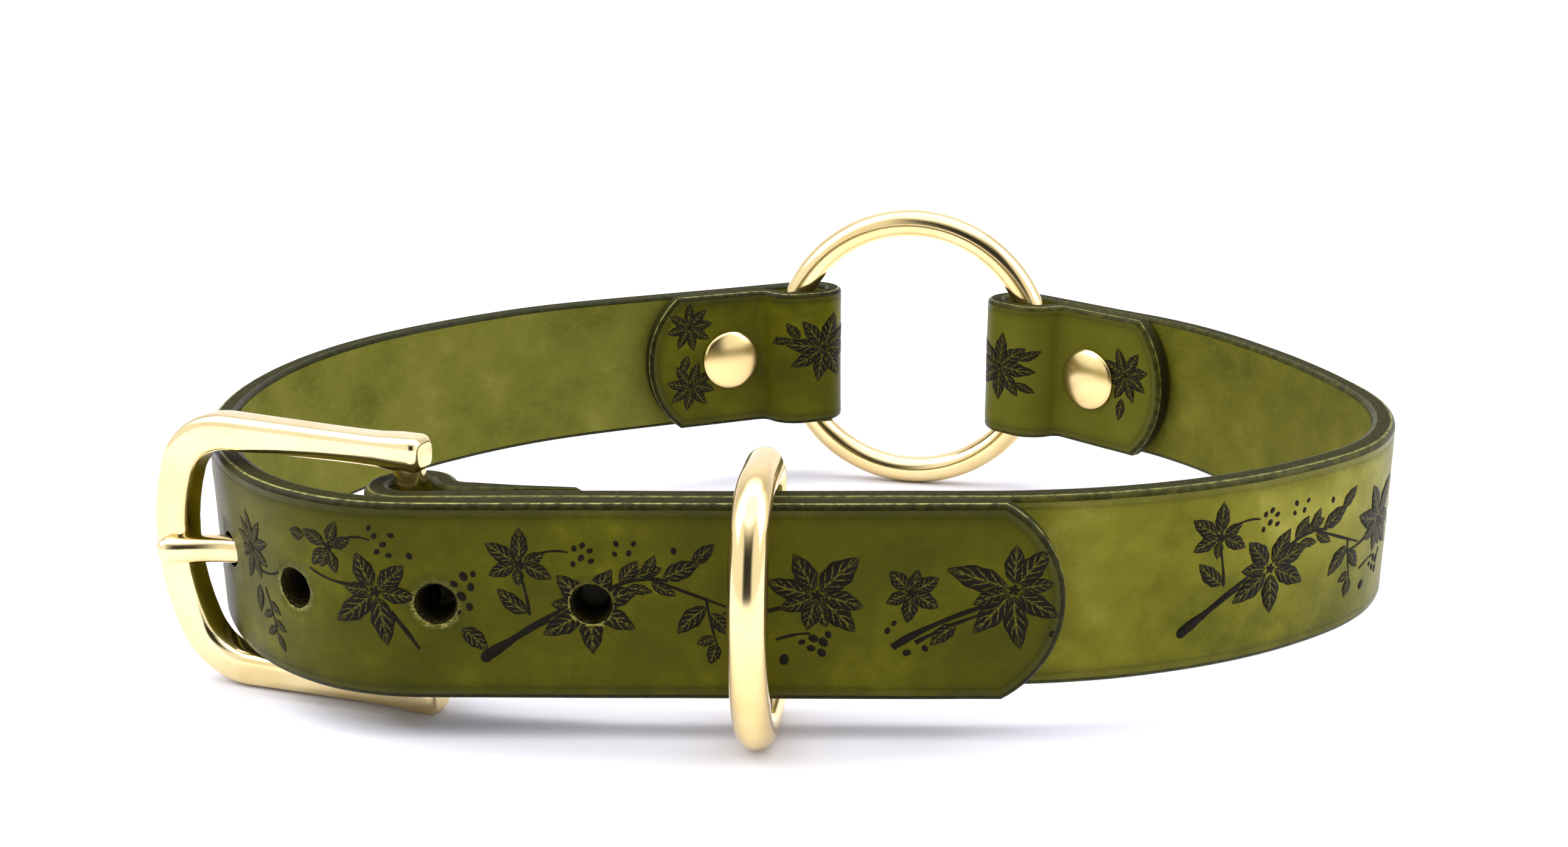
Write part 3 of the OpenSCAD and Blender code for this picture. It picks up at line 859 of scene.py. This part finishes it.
class Print:
    """Flat motifs laid on the grain of one strap. x runs along it from the origin, z up."""

    def __init__(self, name, strap, side, origin, direction):
        self.name, self.strap, self.side = name, strap, side
        self.origin, self.direction = origin, direction
        self.bm = bmesh.new()
        self.leaf = self.bm.verts.layers.float_vector.new("leaf")
        self.flat = self.bm.verts.layers.float_vector.new("flat")

    def lay(self, verts, shape, kind):
        """Moves a grid or disc of verts to where shape(u, v) says on the strap."""
        for v in verts:
            u, w = v.co.x + 0.5, v.co.y * 2
            x, z = shape(u, w)
            s = self.origin + self.direction * x
            v[self.leaf] = (u, w, kind)
            v[self.flat] = (s, z, self.side * HALF)
            v.co = self.strap.put(s, z, self.side * (HALF + INK_RISE))

    def patch(self, along, across, shape, kind):
        made = bmesh.ops.create_grid(self.bm, x_segments=along, y_segments=across, size=0.5)
        self.lay(made["verts"], shape, kind)

    def leaf_at(self, x, z, angle, length, width, curl=0.0, jag=0.07):
        def shape(u, w):
            a = math.radians(angle + curl * u)
            body = math.sin(math.pi * u ** 0.85) ** 0.9 if 0.001 < u < 0.999 else 0.0
            half = width / 2 * body * (1 + jag * math.sin(u * 19 + x * 3)) + 0.04
            return (x + length * u * math.cos(a) - math.sin(a) * half * w,
                    z + length * u * math.sin(a) + math.cos(a) * half * w)

        self.patch(max(8, int(length * 2.4)), 4, shape, 1.0)

    def stem(self, points, start=0.5, end=0.2):
        """A stroke that bends from the first point to the last by way of the middle one."""
        (x0, z0), (x1, z1), (x2, z2) = points

        def shape(u, w):
            x = (1 - u) ** 2 * x0 + 2 * u * (1 - u) * x1 + u * u * x2
            z = (1 - u) ** 2 * z0 + 2 * u * (1 - u) * z1 + u * u * z2
            dx = 2 * (1 - u) * (x1 - x0) + 2 * u * (x2 - x1)
            dz = 2 * (1 - u) * (z1 - z0) + 2 * u * (z2 - z1)
            d = math.hypot(dx, dz) or 1.0
            half = (start + (end - start) * u) / 2 * (1 + 0.18 * math.sin(11 * u + x0))
            return x - dz / d * half * w, z + dx / d * half * w

        self.patch(18, 2, shape, 0.0)

    def berry(self, x, z, r):
        made = bmesh.ops.create_circle(self.bm, cap_ends=True, cap_tris=True, segments=12, radius=0.5)

        def shape(u, w):
            y = w / 2
            reach = r * 2 * (1 + 0.14 * math.sin(2 * math.atan2(y, u - 0.5) + x))
            return x + (u - 0.5) * reach, z + y * reach

        self.lay(made["verts"], shape, 0.0)

    def berries(self, x, spots):
        """spots is a list of (distance past x, z, radius)."""
        for dx, z, r in spots:
            self.berry(x + dx, z, r)

    def flower(self, x, z, petals, gap=0.5):
        """petals is a list of (angle, length, width)."""
        for angle, length, width in petals:
            a = math.radians(angle)
            self.leaf_at(x + gap * math.cos(a), z + gap * math.sin(a), angle, length, width, curl=6 * math.sin(angle))
        for k in range(5):
            self.berry(x + 0.5 * math.cos(1.3 * k), z + 0.5 * math.sin(1.3 * k), 0.24)
        self.berry(x, z, 0.38)

    def branch(self, x):
        """A cut branch with a star flower above it, a large flower at its end and a sprig beyond."""
        self.stem([(x, -6.8), (x + 3.2, -4.6), (x + 9.2, -0.8)], 1.35, 0.5)
        self.stem([(x + 2.4, -5.6), (x + 5.4, -3.0), (x + 8.8, -2.0)], 0.5, 0.35)
        self.berry(x - 0.1, -6.9, 0.85)
        self.leaf_at(x + 5.2, -1.2, 150, 4.8, 2.1, -12)
        self.stem([(x + 5.4, -1.5), (x + 5.2, 1.6), (x + 4.3, 4.6)], 0.4, 0.28)
        self.flower(x + 4.5, 5.2, [
            (88, 4.2, 2.0), (148, 4.4, 2.1), (196, 3.6, 1.9), (338, 3.8, 1.9), (20, 2.9, 1.5), (260, 2.4, 1.3),
        ])
        self.stem([(x + 5.4, 5.6), (x + 7.6, 7.4), (x + 10.4, 6.7)], 0.42, 0.2)
        self.berries(x, [
            (11.2, 7.2, .36), (12.2, 7.6, .38), (13.1, 6.9, .36), (12.0, 6.0, .4), (13.2, 5.6, .36),
            (11.0, 5.2, .34), (16.3, 7.8, .38), (16.1, 6.5, .32), (17.8, 6.6, .36), (18.4, 7.8, .32),
        ])
        self.flower(x + 12.6, -0.4, [
            (128, 4.8, 2.5), (62, 5.0, 2.5), (24, 5.8, 2.7), (338, 5.6, 2.6), (276, 5.4, 2.7),
            (218, 6.0, 2.7), (172, 3.8, 1.9),
        ], 0.8)
        self.stem([(x + 14.6, 1.6), (x + 19.0, 4.2), (x + 22.4, 3.0)], 0.6, 0.35)
        self.stem([(x + 19.6, 3.6), (x + 23.0, 2.2), (x + 29.6, -0.4)], 0.42, 0.32)
        for dx, dz, angle, length, width in (
            (16.6, 2.8, 52, 3.6, 1.8), (18.2, 3.4, 20, 3.8, 1.7), (19.6, 3.6, 64, 3.0, 1.5),
            (21.8, 3.4, 24, 5.0, 2.3), (25.4, 5.2, 44, 3.8, 1.7), (20.4, 2.8, 330, 3.4, 1.4),
            (17.4, 2.2, 350, 3.2, 1.3),
        ):
            self.leaf_at(x + dx, dz, angle, length, width)
        self.stem([(x + 24.2, 4.4), (x + 25.2, 5.0), (x + 26.2, 6.2)], 0.3, 0.2)
        self.stem([(x + 27.0, 0.8), (x + 27.4, -2.4), (x + 28.4, -6.0)], 0.36, 0.2)
        self.leaf_at(x + 27.0, -0.4, 214, 5.0, 2.3, 10)
        self.leaf_at(x + 27.4, -1.2, 318, 3.8, 1.8, -8)
        self.leaf_at(x + 28.2, -5.2, 252, 2.8, 1.7)
        self.leaf_at(x + 28.0, -4.4, 200, 2.4, 1.3)
        self.berry(x + 23.2, 6.9, 0.4)

    def bouquet(self, x):
        """A seven-leaf flower, a small flower, and a large star with two long stems."""
        self.stem([(x + 5.8, -0.2), (x + 2.6, -1.4), (x - 1.8, -1.2)], 0.5, 0.3)
        self.flower(x + 9.6, 1.2, [
            (116, 5.4, 2.7), (168, 5.8, 2.6), (206, 4.2, 2.1), (252, 4.0, 2.3), (286, 3.6, 2.0),
            (318, 6.0, 2.8), (350, 5.2, 2.5), (48, 6.4, 3.4),
        ], 0.7)
        self.stem([(x + 4.6, -4.6), (x + 7.4, -3.6), (x + 8.8, -3.8)], 0.4, 0.26)
        self.berries(x, [
            (9.2, -4.4, .56), (10.4, -4.9, .6), (8.9, -5.7, .48), (10.2, -6.3, .54), (11.0, -3.9, .44),
            (7.8, -4.9, .4), (5.6, -7.2, .66), (18.2, -3.4, .4), (19.0, -2.4, .34),
        ])
        self.flower(x + 21.0, 1.6, [
            (132, 3.3, 2.0), (70, 2.6, 1.5), (28, 3.4, 2.0), (330, 3.4, 2.0), (268, 3.5, 1.9), (204, 2.8, 1.7),
        ])
        self.flower(x + 33.4, 1.9, [
            (88, 5.0, 2.6), (54, 5.8, 2.8), (160, 7.8, 3.1), (196, 4.4, 2.3), (232, 6.6, 2.9),
            (272, 7.0, 2.8), (322, 5.8, 2.6), (12, 4.2, 2.0),
        ], 0.8)
        self.stem([(x + 18.8, -5.6), (x + 23.6, -2.2), (x + 31.0, 0.2)], 0.95, 0.4)
        self.stem([(x + 21.6, -5.0), (x + 25.4, -2.6), (x + 31.4, -0.6)], 0.6, 0.3)
        self.leaf_at(x + 26.6, -2.6, 212, 4.2, 1.9, 8)
        self.berries(x, [
            (20.6, -6.3, .48), (22.8, -5.7, .42), (38.2, -3.8, .4),
        ])

    def spray(self, x):
        """Berries, a five-leaf flower on a long stem, and a drooping sprig."""
        self.berries(x, [
            (-2.4, 3.6, .56), (-1.6, 2.2, .5), (-2.8, 1.0, .6), (-1.9, -0.4, .48), (-3.4, -1.0, .42),
            (-1.2, 3.9, .38), (-3.6, 2.6, .44),
        ])
        self.leaf_at(x - 3.0, -3.2, 322, 4.2, 2.2, -6)
        self.flower(x - 13.2, 1.4, [
            (118, 4.6, 2.6), (44, 4.4, 2.5), (352, 4.2, 2.2), (282, 6.4, 2.8), (224, 6.2, 2.8), (176, 3.2, 1.8),
        ], 0.7)
        self.stem([(x - 11.6, -1.2), (x - 10.0, -3.0), (x - 8.4, -6.0)], 0.7, 0.35)
        self.stem([(x - 14.6, 2.2), (x - 18.4, 1.6), (x - 22.0, 3.4)], 0.4, 0.26)
        self.flower(x - 19.0, 6.6, [
            (152, 3.6, 1.8), (74, 3.2, 1.6), (20, 3.0, 1.5), (286, 3.0, 1.6), (222, 3.2, 1.7), (250, 2.6, 1.5),
        ])
        self.leaf_at(x - 22.6, 7.4, 172, 2.4, 1.6)
        self.stem([(x - 18.0, 6.8), (x - 16.0, 9.0), (x - 13.4, 8.0)], 0.4, 0.2)
        self.berries(x, [
            (-12.8, 8.6, .36), (-11.8, 7.6, .4), (-12.6, 6.6, .36), (-11.2, 6.2, .36), (-13.4, 9.6, .32),
            (-10.8, 8.8, .36), (-8.8, 6.2, .4),
        ])

    def wreath(self, x):
        """A dense spray of narrow leaves with a twig below."""
        self.flower(x, 3.2, [
            (96, 4.6, 1.5), (62, 4.2, 1.4), (128, 4.2, 1.4), (24, 3.8, 1.5), (168, 4.0, 1.5), (338, 3.6, 1.6),
            (206, 4.2, 1.6), (300, 3.8, 1.7), (256, 4.4, 1.7),
        ], 0.5)
        self.stem([(x + 1.4, 0.6), (x + 4.2, 0.2), (x + 6.0, 1.4)], 0.36, 0.24)
        self.leaf_at(x + 1.2, -1.6, 262, 4.0, 1.8)
        self.stem([(x + 2.6, -1.6), (x + 4.0, -4.6), (x + 4.6, -8.0)], 0.36, 0.24)
        for dz, angle in ((-3.2, 326), (-4.6, 208), (-5.6, 334), (-6.6, 214), (-7.4, 300)):
            self.leaf_at(x + 3.4 + (-dz - 3) * 0.28, dz, angle, 2.6, 1.1)

    def tuft(self, x, z=0.0, turn=0.0, k=1.0):
        """Broad leaves fanned round one point."""
        self.flower(x, z, [(turn + a, 5.4 * k, 2.4 * k) for a in (18, 62, 118, 162, 205, 250, 292, 338)], 0.6)

    def middle(self, f):
        """The middle of a face on the flat strap."""
        return (sum(v[self.flat][k] for v in f.verts) / len(f.verts) for k in (0, 1))

    def trim(self, holes=(), slots=()):
        """Drops what would lie past the rim or over a hole."""
        gone = []
        for f in self.bm.faces:
            s, z = self.middle(f)
            over = any(math.hypot(s - h, z) < HOLE_R + 0.5 for h in holes)
            over = over or any(low < s < high and abs(z) < half for low, high, half in slots)
            if over or not self.strap.inside(s, z, 0.9):
                gone.append(f)
        bmesh.ops.delete(self.bm, geom=gone, context="FACES")

    def done(self, slot_name):
        self.bm.normal_update()
        turned_in = []
        for f in self.bm.faces:
            f.smooth = True
            s, _ = self.middle(f)
            h = math.radians(at(self.strap.run, self.strap.start, s)[2])
            if f.normal.dot(Vector((-math.sin(h), math.cos(h), 0)) * self.side) < 0:
                turned_in.append(f)
        bmesh.ops.reverse_faces(self.bm, faces=turned_in)
        self.bm.normal_update()
        bmesh.ops.solidify(self.bm, geom=self.bm.faces[:], thickness=INK_THICK)
        mesh = to_mesh(self.bm, self.name)
        mesh.transform(TO_ROW)
        mesh.materials.append(print_ink)
        return finish_piece(link(self.name, mesh), "straps", slot_name)


# On the tongue x grows towards its tip, so s falls
on_tongue = Print("tongue_print", TONGUE, 1, 70.6, -1)
on_tongue.branch(0)
on_tongue.bouquet(30.8)
on_tongue.spray(0)
on_tongue.wreath(-34)
on_tongue.branch(-84)
on_tongue.bouquet(-122)
on_tongue.spray(-126)
on_tongue.branch(-190)
# The two flaps turn back, so on them s grows away from the ring and towards the flap's end
fold = 70.6 - TONGUE_RING_S
on_tongue.tuft(fold - 13.8, 2.2, 8, 1.15)
on_tongue.stem([(fold - 15.5, 2.6), (fold - 19.0, 4.6), (fold - 22.0, 4.2)], 0.5, 0.3)
on_tongue.leaf_at(fold - 18.4, 4.2, 120, 3.6, 1.6)
on_tongue.leaf_at(fold - 19.6, 4.2, 200, 3.2, 1.4)
on_tongue.tuft(fold - 41.5, 7.0, 30, 0.75)
on_tongue.leaf_at(fold - 42.0, 1.6, 250, 4.0, 1.8)
on_tongue.tuft(fold - 41.5, -4.4, 12, 0.8)
on_tongue.trim(HOLES, [(107.5, 121.5, 2.9)])
on_tongue.done("leather_tongue")

# On the buckle strap x and s grow together
FRONT = HEEL_S + 97.0
on_buckle = Print("buckle_print", BUCKLE, -1, FRONT, 1)
on_buckle.branch(0)
on_buckle.bouquet(26)
on_buckle.branch(68)
on_buckle.spray(128)
fold = BUCKLE_RING_S - FRONT
on_buckle.tuft(fold + 14.5, 0.6, 20, 1.1)
on_buckle.leaf_at(fold + 18.4, 2.4, 30, 3.8, 1.6)
on_buckle.leaf_at(fold + 18.0, -2.0, 330, 3.4, 1.5)
on_buckle.tuft(fold + 41.5, 2.2, 0, 0.85)
on_buckle.leaf_at(fold + 41.0, -2.2, 262, 4.2, 1.8)
on_buckle.trim()
on_buckle.done("leather_buckle")

# ---------------------------------------------------------------- buckle frame

CORNER_R, CORNER_TURN = 8.8, 68.0
BOW_HALF = ARM_Z - CORNER_R * (1 - math.cos(math.radians(CORNER_TURN)))
BOW_R = BOW_HALF / math.cos(math.radians(CORNER_TURN))
BOW_REACH = CORNER_R * math.sin(math.radians(CORNER_TURN)) + BOW_R * (1 - math.sin(math.radians(CORNER_TURN)))
CORNER_X = FRAME_LENGTH - BOW_REACH
ARM_BACK = 2.35
frame_run = [
    (CORNER_X + ARM_BACK, 0),
    bend(CORNER_R, -CORNER_TURN),
    bend(BOW_R, -2 * (90 - CORNER_TURN)),
    bend(CORNER_R, -CORNER_TURN),
    (CORNER_X + ARM_BACK, 0),
]
FRAME_RUN_LEN = run_length(frame_run)


def toward_bow(d):
    """0 at the arms' ends, 1 at the bow, by distance along the frame."""
    d = min(d, FRAME_RUN_LEN - d)
    share = min(1.0, max(0.0, (d - 8) / (FRAME_RUN_LEN / 2 - 18)))
    return share * share * (3 - 2 * share)


# The arms' ends are cut fine enough to round them, and their steps add up to END_RUN
END_STEPS = [(step, 0) for step in (0.03, 0.07, 0.12, 0.18, 0.25, 0.28, 0.32, 0.4, 0.75, 1.2)]
END_RUN, END_ROUND = 3.6, 1.25
ARM_HALF, BOW_DEEPER, BOW_THICKER, KNUCKLE = 2.06, 0.58, 0.20, 0.26
ARM_LEAN, ARM_IN = 0.8, 0.22


def arm_end(d):
    """Softens the blunt ends of the arms."""
    d = min(d, FRAME_RUN_LEN - d)
    return 0.60 + 0.40 * math.sqrt(1 - (1 - min(1.0, d / END_ROUND)) ** 2)


def frame_half(d, more):
    """Half the frame's section, swollen where the heel bar is cast in and at the bow."""
    from_end = min(d, FRAME_RUN_LEN - d)
    knuckle = KNUCKLE * (1 - min(1.0, max(0.0, (from_end - END_RUN) / 5.0))) ** 2
    return (ARM_HALF + knuckle + more * toward_bow(d)) * arm_end(d)


# The run lies flat in XY, so it is stood up in XZ
upright = Matrix.Rotation(math.radians(90), 4, "X")
arm_run = [(CORNER_X + ARM_BACK - END_RUN, -ARM_LEAN)]
arm_start = Matrix.Translation((-ARM_BACK, ARM_Z - ARM_IN, 0)) @ Matrix.Rotation(math.radians(ARM_LEAN), 4, "Z")
bm = wire(END_STEPS + arm_run + frame_run[1:-1] + arm_run + END_STEPS[::-1],
          lambda d: frame_half(d, BOW_DEEPER), lambda d: frame_half(d, BOW_THICKER),
          power=3.4, sides=44, start=upright @ arm_start)
bar = wire([(2 * ARM_Z, 0)], lambda d: 2.0, sides=40, length_step=1.5,
           start=Matrix.Rotation(math.radians(-90), 4, "Y") @ Matrix.Translation((-ARM_Z, 0, 0)))
joined(bm, (bar, Matrix.Identity(4)))
horseshoe = placed(bm, "buckle_horseshoe", buckle_brass, at_heel(FRAME_ANGLE))
finish_piece(horseshoe, "buckle", "buckle_brass", "buckle_frame")

# ---------------------------------------------------------------- prong

PRONG_R, TIP_ROUND = 1.78, 1.85
EYE_R, EYE_WALL, EYE_HALF = 2.92, 0.74, 2.15
prong_run = [(21.1, 0), bend(26, 25), (3.2, 0), (0.7, 0), (0.5, 0), (0.35, 0), (0.2, 0), (0.1, 0)]
PRONG_LEN = run_length(prong_run)


def prong_half(d):
    """Half the prong's section, rounded off at its free end."""
    back = min(1.0, max(0.0, (d - (PRONG_LEN - TIP_ROUND)) / TIP_ROUND))
    return PRONG_R * max(0.12, math.sqrt(1 - back * back))


bm = wire(prong_run, prong_half, power=2.4, sides=36, length_step=2.0, start=Matrix.Translation((1.5, 0, 0)))
eye = wire([bend(EYE_R, 360)], lambda d: EYE_WALL, lambda d: EYE_HALF, power=3.2, sides=32, fine=8, closed=True,
           start=Matrix.Translation((0, -EYE_R, 0)))
joined(bm, (eye, Matrix.Identity(4)))
prong = placed(bm, "buckle_tongue_pin", buckle_brass, at_heel(PRONG_ANGLE))
finish_piece(prong, "prong", "buckle_brass", "buckle_prong")

# ---------------------------------------------------------------- D-ring

KEEPER_R = 2.4
KEEPER_HALF = 15.7
KEEPER_HEEL, KEEPER_CORNER, KEEPER_TURN, KEEPER_FLANK = 2.9, 9.0, 60.0, 9.0
KEEPER_COS = math.cos(math.radians(KEEPER_TURN))
KEEPER_FRONT = (KEEPER_HALF - KEEPER_CORNER * (1 - KEEPER_COS)) / KEEPER_COS
keeper_run = [
    (KEEPER_HALF - KEEPER_HEEL, 0),
    bend(KEEPER_HEEL, -90),
    (KEEPER_FLANK - KEEPER_HEEL, 0),
    bend(KEEPER_CORNER, -KEEPER_TURN),
    bend(KEEPER_FRONT, -2 * (90 - KEEPER_TURN)),
    bend(KEEPER_CORNER, -KEEPER_TURN),
    (KEEPER_FLANK - KEEPER_HEEL, 0),
    bend(KEEPER_HEEL, -90),
    (KEEPER_HALF - KEEPER_HEEL, 0),
]
bm = wire(keeper_run, lambda d: KEEPER_R, sides=44, closed=True,
          start=upright @ Matrix.Rotation(math.radians(90), 4, "Z"))
keeper_hang = Matrix.Rotation(math.radians(264.5), 4, "Z")
keeper = placed(bm, "lap_d_ring", ring_brass,
                Matrix.Translation((-2.5, HALF + 0.3 + KEEPER_R, -0.3)) @ keeper_hang)
finish_piece(keeper, "d_ring", "ring_brass", "keeper_ring")

# ---------------------------------------------------------------- O-ring


def wire_spot(p, side):
    """Where the ring's wire lies inside a strap's loop."""
    deep = side * (HALF + RING_WIRE / 2 - 0.3)
    x, y, h = p[0], p[1], math.radians(p[2])
    return Vector((x - 4 * math.cos(h) - deep * math.sin(h), y - 4 * math.sin(h) + deep * math.cos(h), 0))


tongue_end = at(TONGUE_RUN, TONGUE_START, run_length(TONGUE_RUN))
buckle_end = at(BUCKLE_RUN, (HEEL_X, 0.0, 0.0), run_length(BUCKLE_RUN))
left_wire, right_wire = wire_spot(tongue_end, -1), wire_spot(buckle_end, 1)
ring_mid = (left_wire + right_wire) / 2
ring_r = math.hypot((right_wire - left_wire).length / 2, 2.0)
ring_yaw = math.atan2(right_wire.y - left_wire.y, right_wire.x - left_wire.x)
bm = wire([bend(ring_r, 360)], lambda d: RING_WIRE / 2, sides=40, fine=2.8125, closed=True,
          start=upright @ Matrix.Translation((0, -ring_r, 0)))
ring = placed(bm, "back_o_ring", ring_brass,
              Matrix.Translation((ring_mid.x, ring_mid.y, 2.0)) @ Matrix.Rotation(ring_yaw, 4, "Z"))
finish_piece(ring, "o_ring", "ring_brass", "back_ring")

# ---------------------------------------------------------------- rivets


def dome():
    """A domed rivet face with a softly rolled rim."""
    rim, rise = 0.5, 1.15
    pts = [(0.0, -0.3), (RIVET_R - 0.5, -0.3), (RIVET_R - 0.12, -0.02), (RIVET_R, 0.22), (RIVET_R - 0.10, rim)]
    ball = (RIVET_R * RIVET_R + rise * rise) / (2 * rise)
    for k in range(1, 13):
        x = (RIVET_R - 0.25) * (1 - k / 13)
        pts.append((x, rim + rise - ball + math.sqrt(ball * ball - x * x)))
    return turned(pts + [(0.0, rim + rise)])


def rivets(name, spots, node):
    """Identical domes, each seated on its spot with its axis along the given direction."""
    bm_ = bmesh.new()
    joined(bm_, *[
        (dome(), Matrix.Translation(place) @ Vector((0, 0, 1)).rotation_difference(axis).to_matrix().to_4x4())
        for place, axis in spots
    ])
    finish_piece(placed(bm_, name, rivet_brass), "straps", "rivet_brass", node)


def on_strap(end, side, offset):
    h = math.radians(end[2])
    along, left = Vector((math.cos(h), math.sin(h), 0)), Vector((-math.sin(h), math.cos(h), 0))
    return Vector((end[0], end[1], 0)) - along * RIVET_BACK + left * side * offset, left * side


ends = ((tongue_end, -1), (buckle_end, 1))
caps = [on_strap(end, side, FLAP_REST + HALF) for end, side in ends]
posts = [on_strap(end, side, -HALF) for end, side in ends]
rivets("rivet_cap_domes", caps, "rivet_caps")
rivets("rivet_post_domes", [(place, -axis) for place, axis in posts], "rivet_posts")
for node in ("heel_rivet_cap", "heel_rivet_post"):
    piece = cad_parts[node]
    piece.data.materials.clear()
    piece.data.materials.append(rivet_brass)

# ---------------------------------------------------------------- camera, floor and light

PITCH, ROLL, YAW = 0.288204, -0.008195, 0.024793
EYE = Vector((4.376, -188.511, 77.275))
SENSOR_WIDTH, IMAGE_WIDTH, FOCAL = 36.0, 2576, 2680.68
right = Vector((math.cos(YAW), math.sin(YAW), 0))
level = Vector((-math.sin(YAW), math.cos(YAW), 0))
ahead = math.cos(PITCH) * level - math.sin(PITCH) * Vector((0, 0, 1))
down = -math.sin(PITCH) * level - math.cos(PITCH) * Vector((0, 0, 1))
image_x = math.cos(ROLL) * right - math.sin(ROLL) * down
image_y = math.sin(ROLL) * right + math.cos(ROLL) * down
turn = TO_ROW.to_3x3() * 1000
axes = Matrix([turn @ image_x, turn @ -image_y, turn @ -ahead]).transposed()
cam_data = bpy.data.cameras.new("product_camera")
cam_data.sensor_width = SENSOR_WIDTH
cam_data.lens = FOCAL / IMAGE_WIDTH * SENSOR_WIDTH
cam_data.clip_start = 0.005
cam_data.clip_end = 20.0
cam = bpy.data.objects.new("product_camera", cam_data)
cam.matrix_world = Matrix.Translation(TO_ROW @ EYE) @ axes.to_4x4()
bpy.context.scene.collection.objects.link(cam)
bpy.context.scene.camera = cam

SWEEP_R = 0.6
bm = bmesh.new()
edges = [bm.edges.new([bm.verts.new((x, -2.4, 0)) for x in (-3.0, 3.0)])]


def carry(edges, vec):
    """Draws edges out into a flat sheet, and returns its far edges."""
    made = bmesh.ops.extrude_edge_only(bm, edges=edges)["geom"]
    bmesh.ops.translate(bm, vec=vec, verts=[g for g in made if isinstance(g, bmesh.types.BMVert)])
    return [g for g in made if isinstance(g, bmesh.types.BMEdge) and all(v in made for v in g.verts)]


edges = carry(edges, (0, 3.5, 0))
swept = bmesh.ops.spin(bm, geom=edges, cent=(0, 1.1, SWEEP_R), axis=(1, 0, 0), angle=math.radians(90), steps=20)
carry([g for g in swept["geom_last"] if isinstance(g, bmesh.types.BMEdge)], (0, 0, 2.4))
bmesh.ops.recalc_face_normals(bm, faces=bm.faces)
if sum(f.normal.z for f in bm.faces) < 0:
    bmesh.ops.reverse_faces(bm, faces=bm.faces)
for f in bm.faces:
    f.smooth = True
floor = link("studio_floor", to_mesh(bm, "studio_floor"))
paper, n = finish("studio_paper", Base_Color=(*paint(221, 220, 227), 1.0), Roughness=0.8, Specular_IOR_Level=0.1)
floor.data.materials.append(paper)


def softbox(name, place, aim, wide, tall, power):
    data = bpy.data.lights.new(name, "AREA")
    data.energy = power
    data.shape = "RECTANGLE"
    data.size = wide
    data.size_y = tall
    ob = bpy.data.objects.new(name, data)
    turned_to = (Vector(aim) - Vector(place)).to_track_quat("-Z", "Y")
    ob.matrix_world = Matrix.Translation(place) @ turned_to.to_matrix().to_4x4()
    bpy.context.scene.collection.objects.link(ob)


softbox("left_softbox", (-0.55, -0.08, 0.5), (0, 0, 0.02), 0.5, 0.5, 3.0)
softbox("right_softbox", (0.65, -0.1, 0.45), (0, 0, 0.02), 0.5, 0.5, 3.2)
softbox("backdrop_softbox", (0.0, 0.3, 1.7), (0, 1.7, 0.5), 2.4, 0.8, 26.0)
# An even overhead light reaches the far floor too, so that it stays pale from every side
ceiling = bpy.data.lights.new("ceiling_light", "SUN")
ceiling.energy = 1.9
ceiling.angle = math.radians(80)
bpy.context.scene.collection.objects.link(bpy.data.objects.new("ceiling_light", ceiling))

world = bpy.data.worlds.new("studio_world")
bpy.context.scene.world = world
world.use_nodes = True
w = Nodes(world.node_tree)
w.tree.nodes.clear()
out = w.tree.nodes.new("ShaderNodeOutputWorld")
sky = w.tree.nodes.new("ShaderNodeBackground")
w.tree.links.new(sky.outputs[0], out.inputs[0])
dx, dy, dz = w.split(w.tree.nodes.new("ShaderNodeTexCoord").outputs["Generated"])
# Bright overhead, behind and at the sides, with a dark room in front
above = w.math("MULTIPLY", w.span(dz, 0.46, 0.76, 0.0, 1.0), 0.95)
behind = w.span(dy, -0.1, 0.5, 0.0, 0.9)
beside = w.span(w.math("ABSOLUTE", dx), 0.30, 0.52, 0.0, 1.1)
level_ = w.math("ADD", 0.03, w.math("MAXIMUM", w.math("MAXIMUM", above, behind), beside))
seen = w.tree.nodes.new("ShaderNodeLightPath").outputs["Is Camera Ray"]
level_ = w.math("ADD", w.math("MULTIPLY", level_, w.math("SUBTRACT", 1.0, seen)), w.math("MULTIPLY", seen, 0.98))
w.put(sky.inputs[0], (0.97, 0.97, 1.0, 1.0))
w.put(sky.inputs[1], level_)
bpy.context.scene.view_settings.view_transform = "Standard"
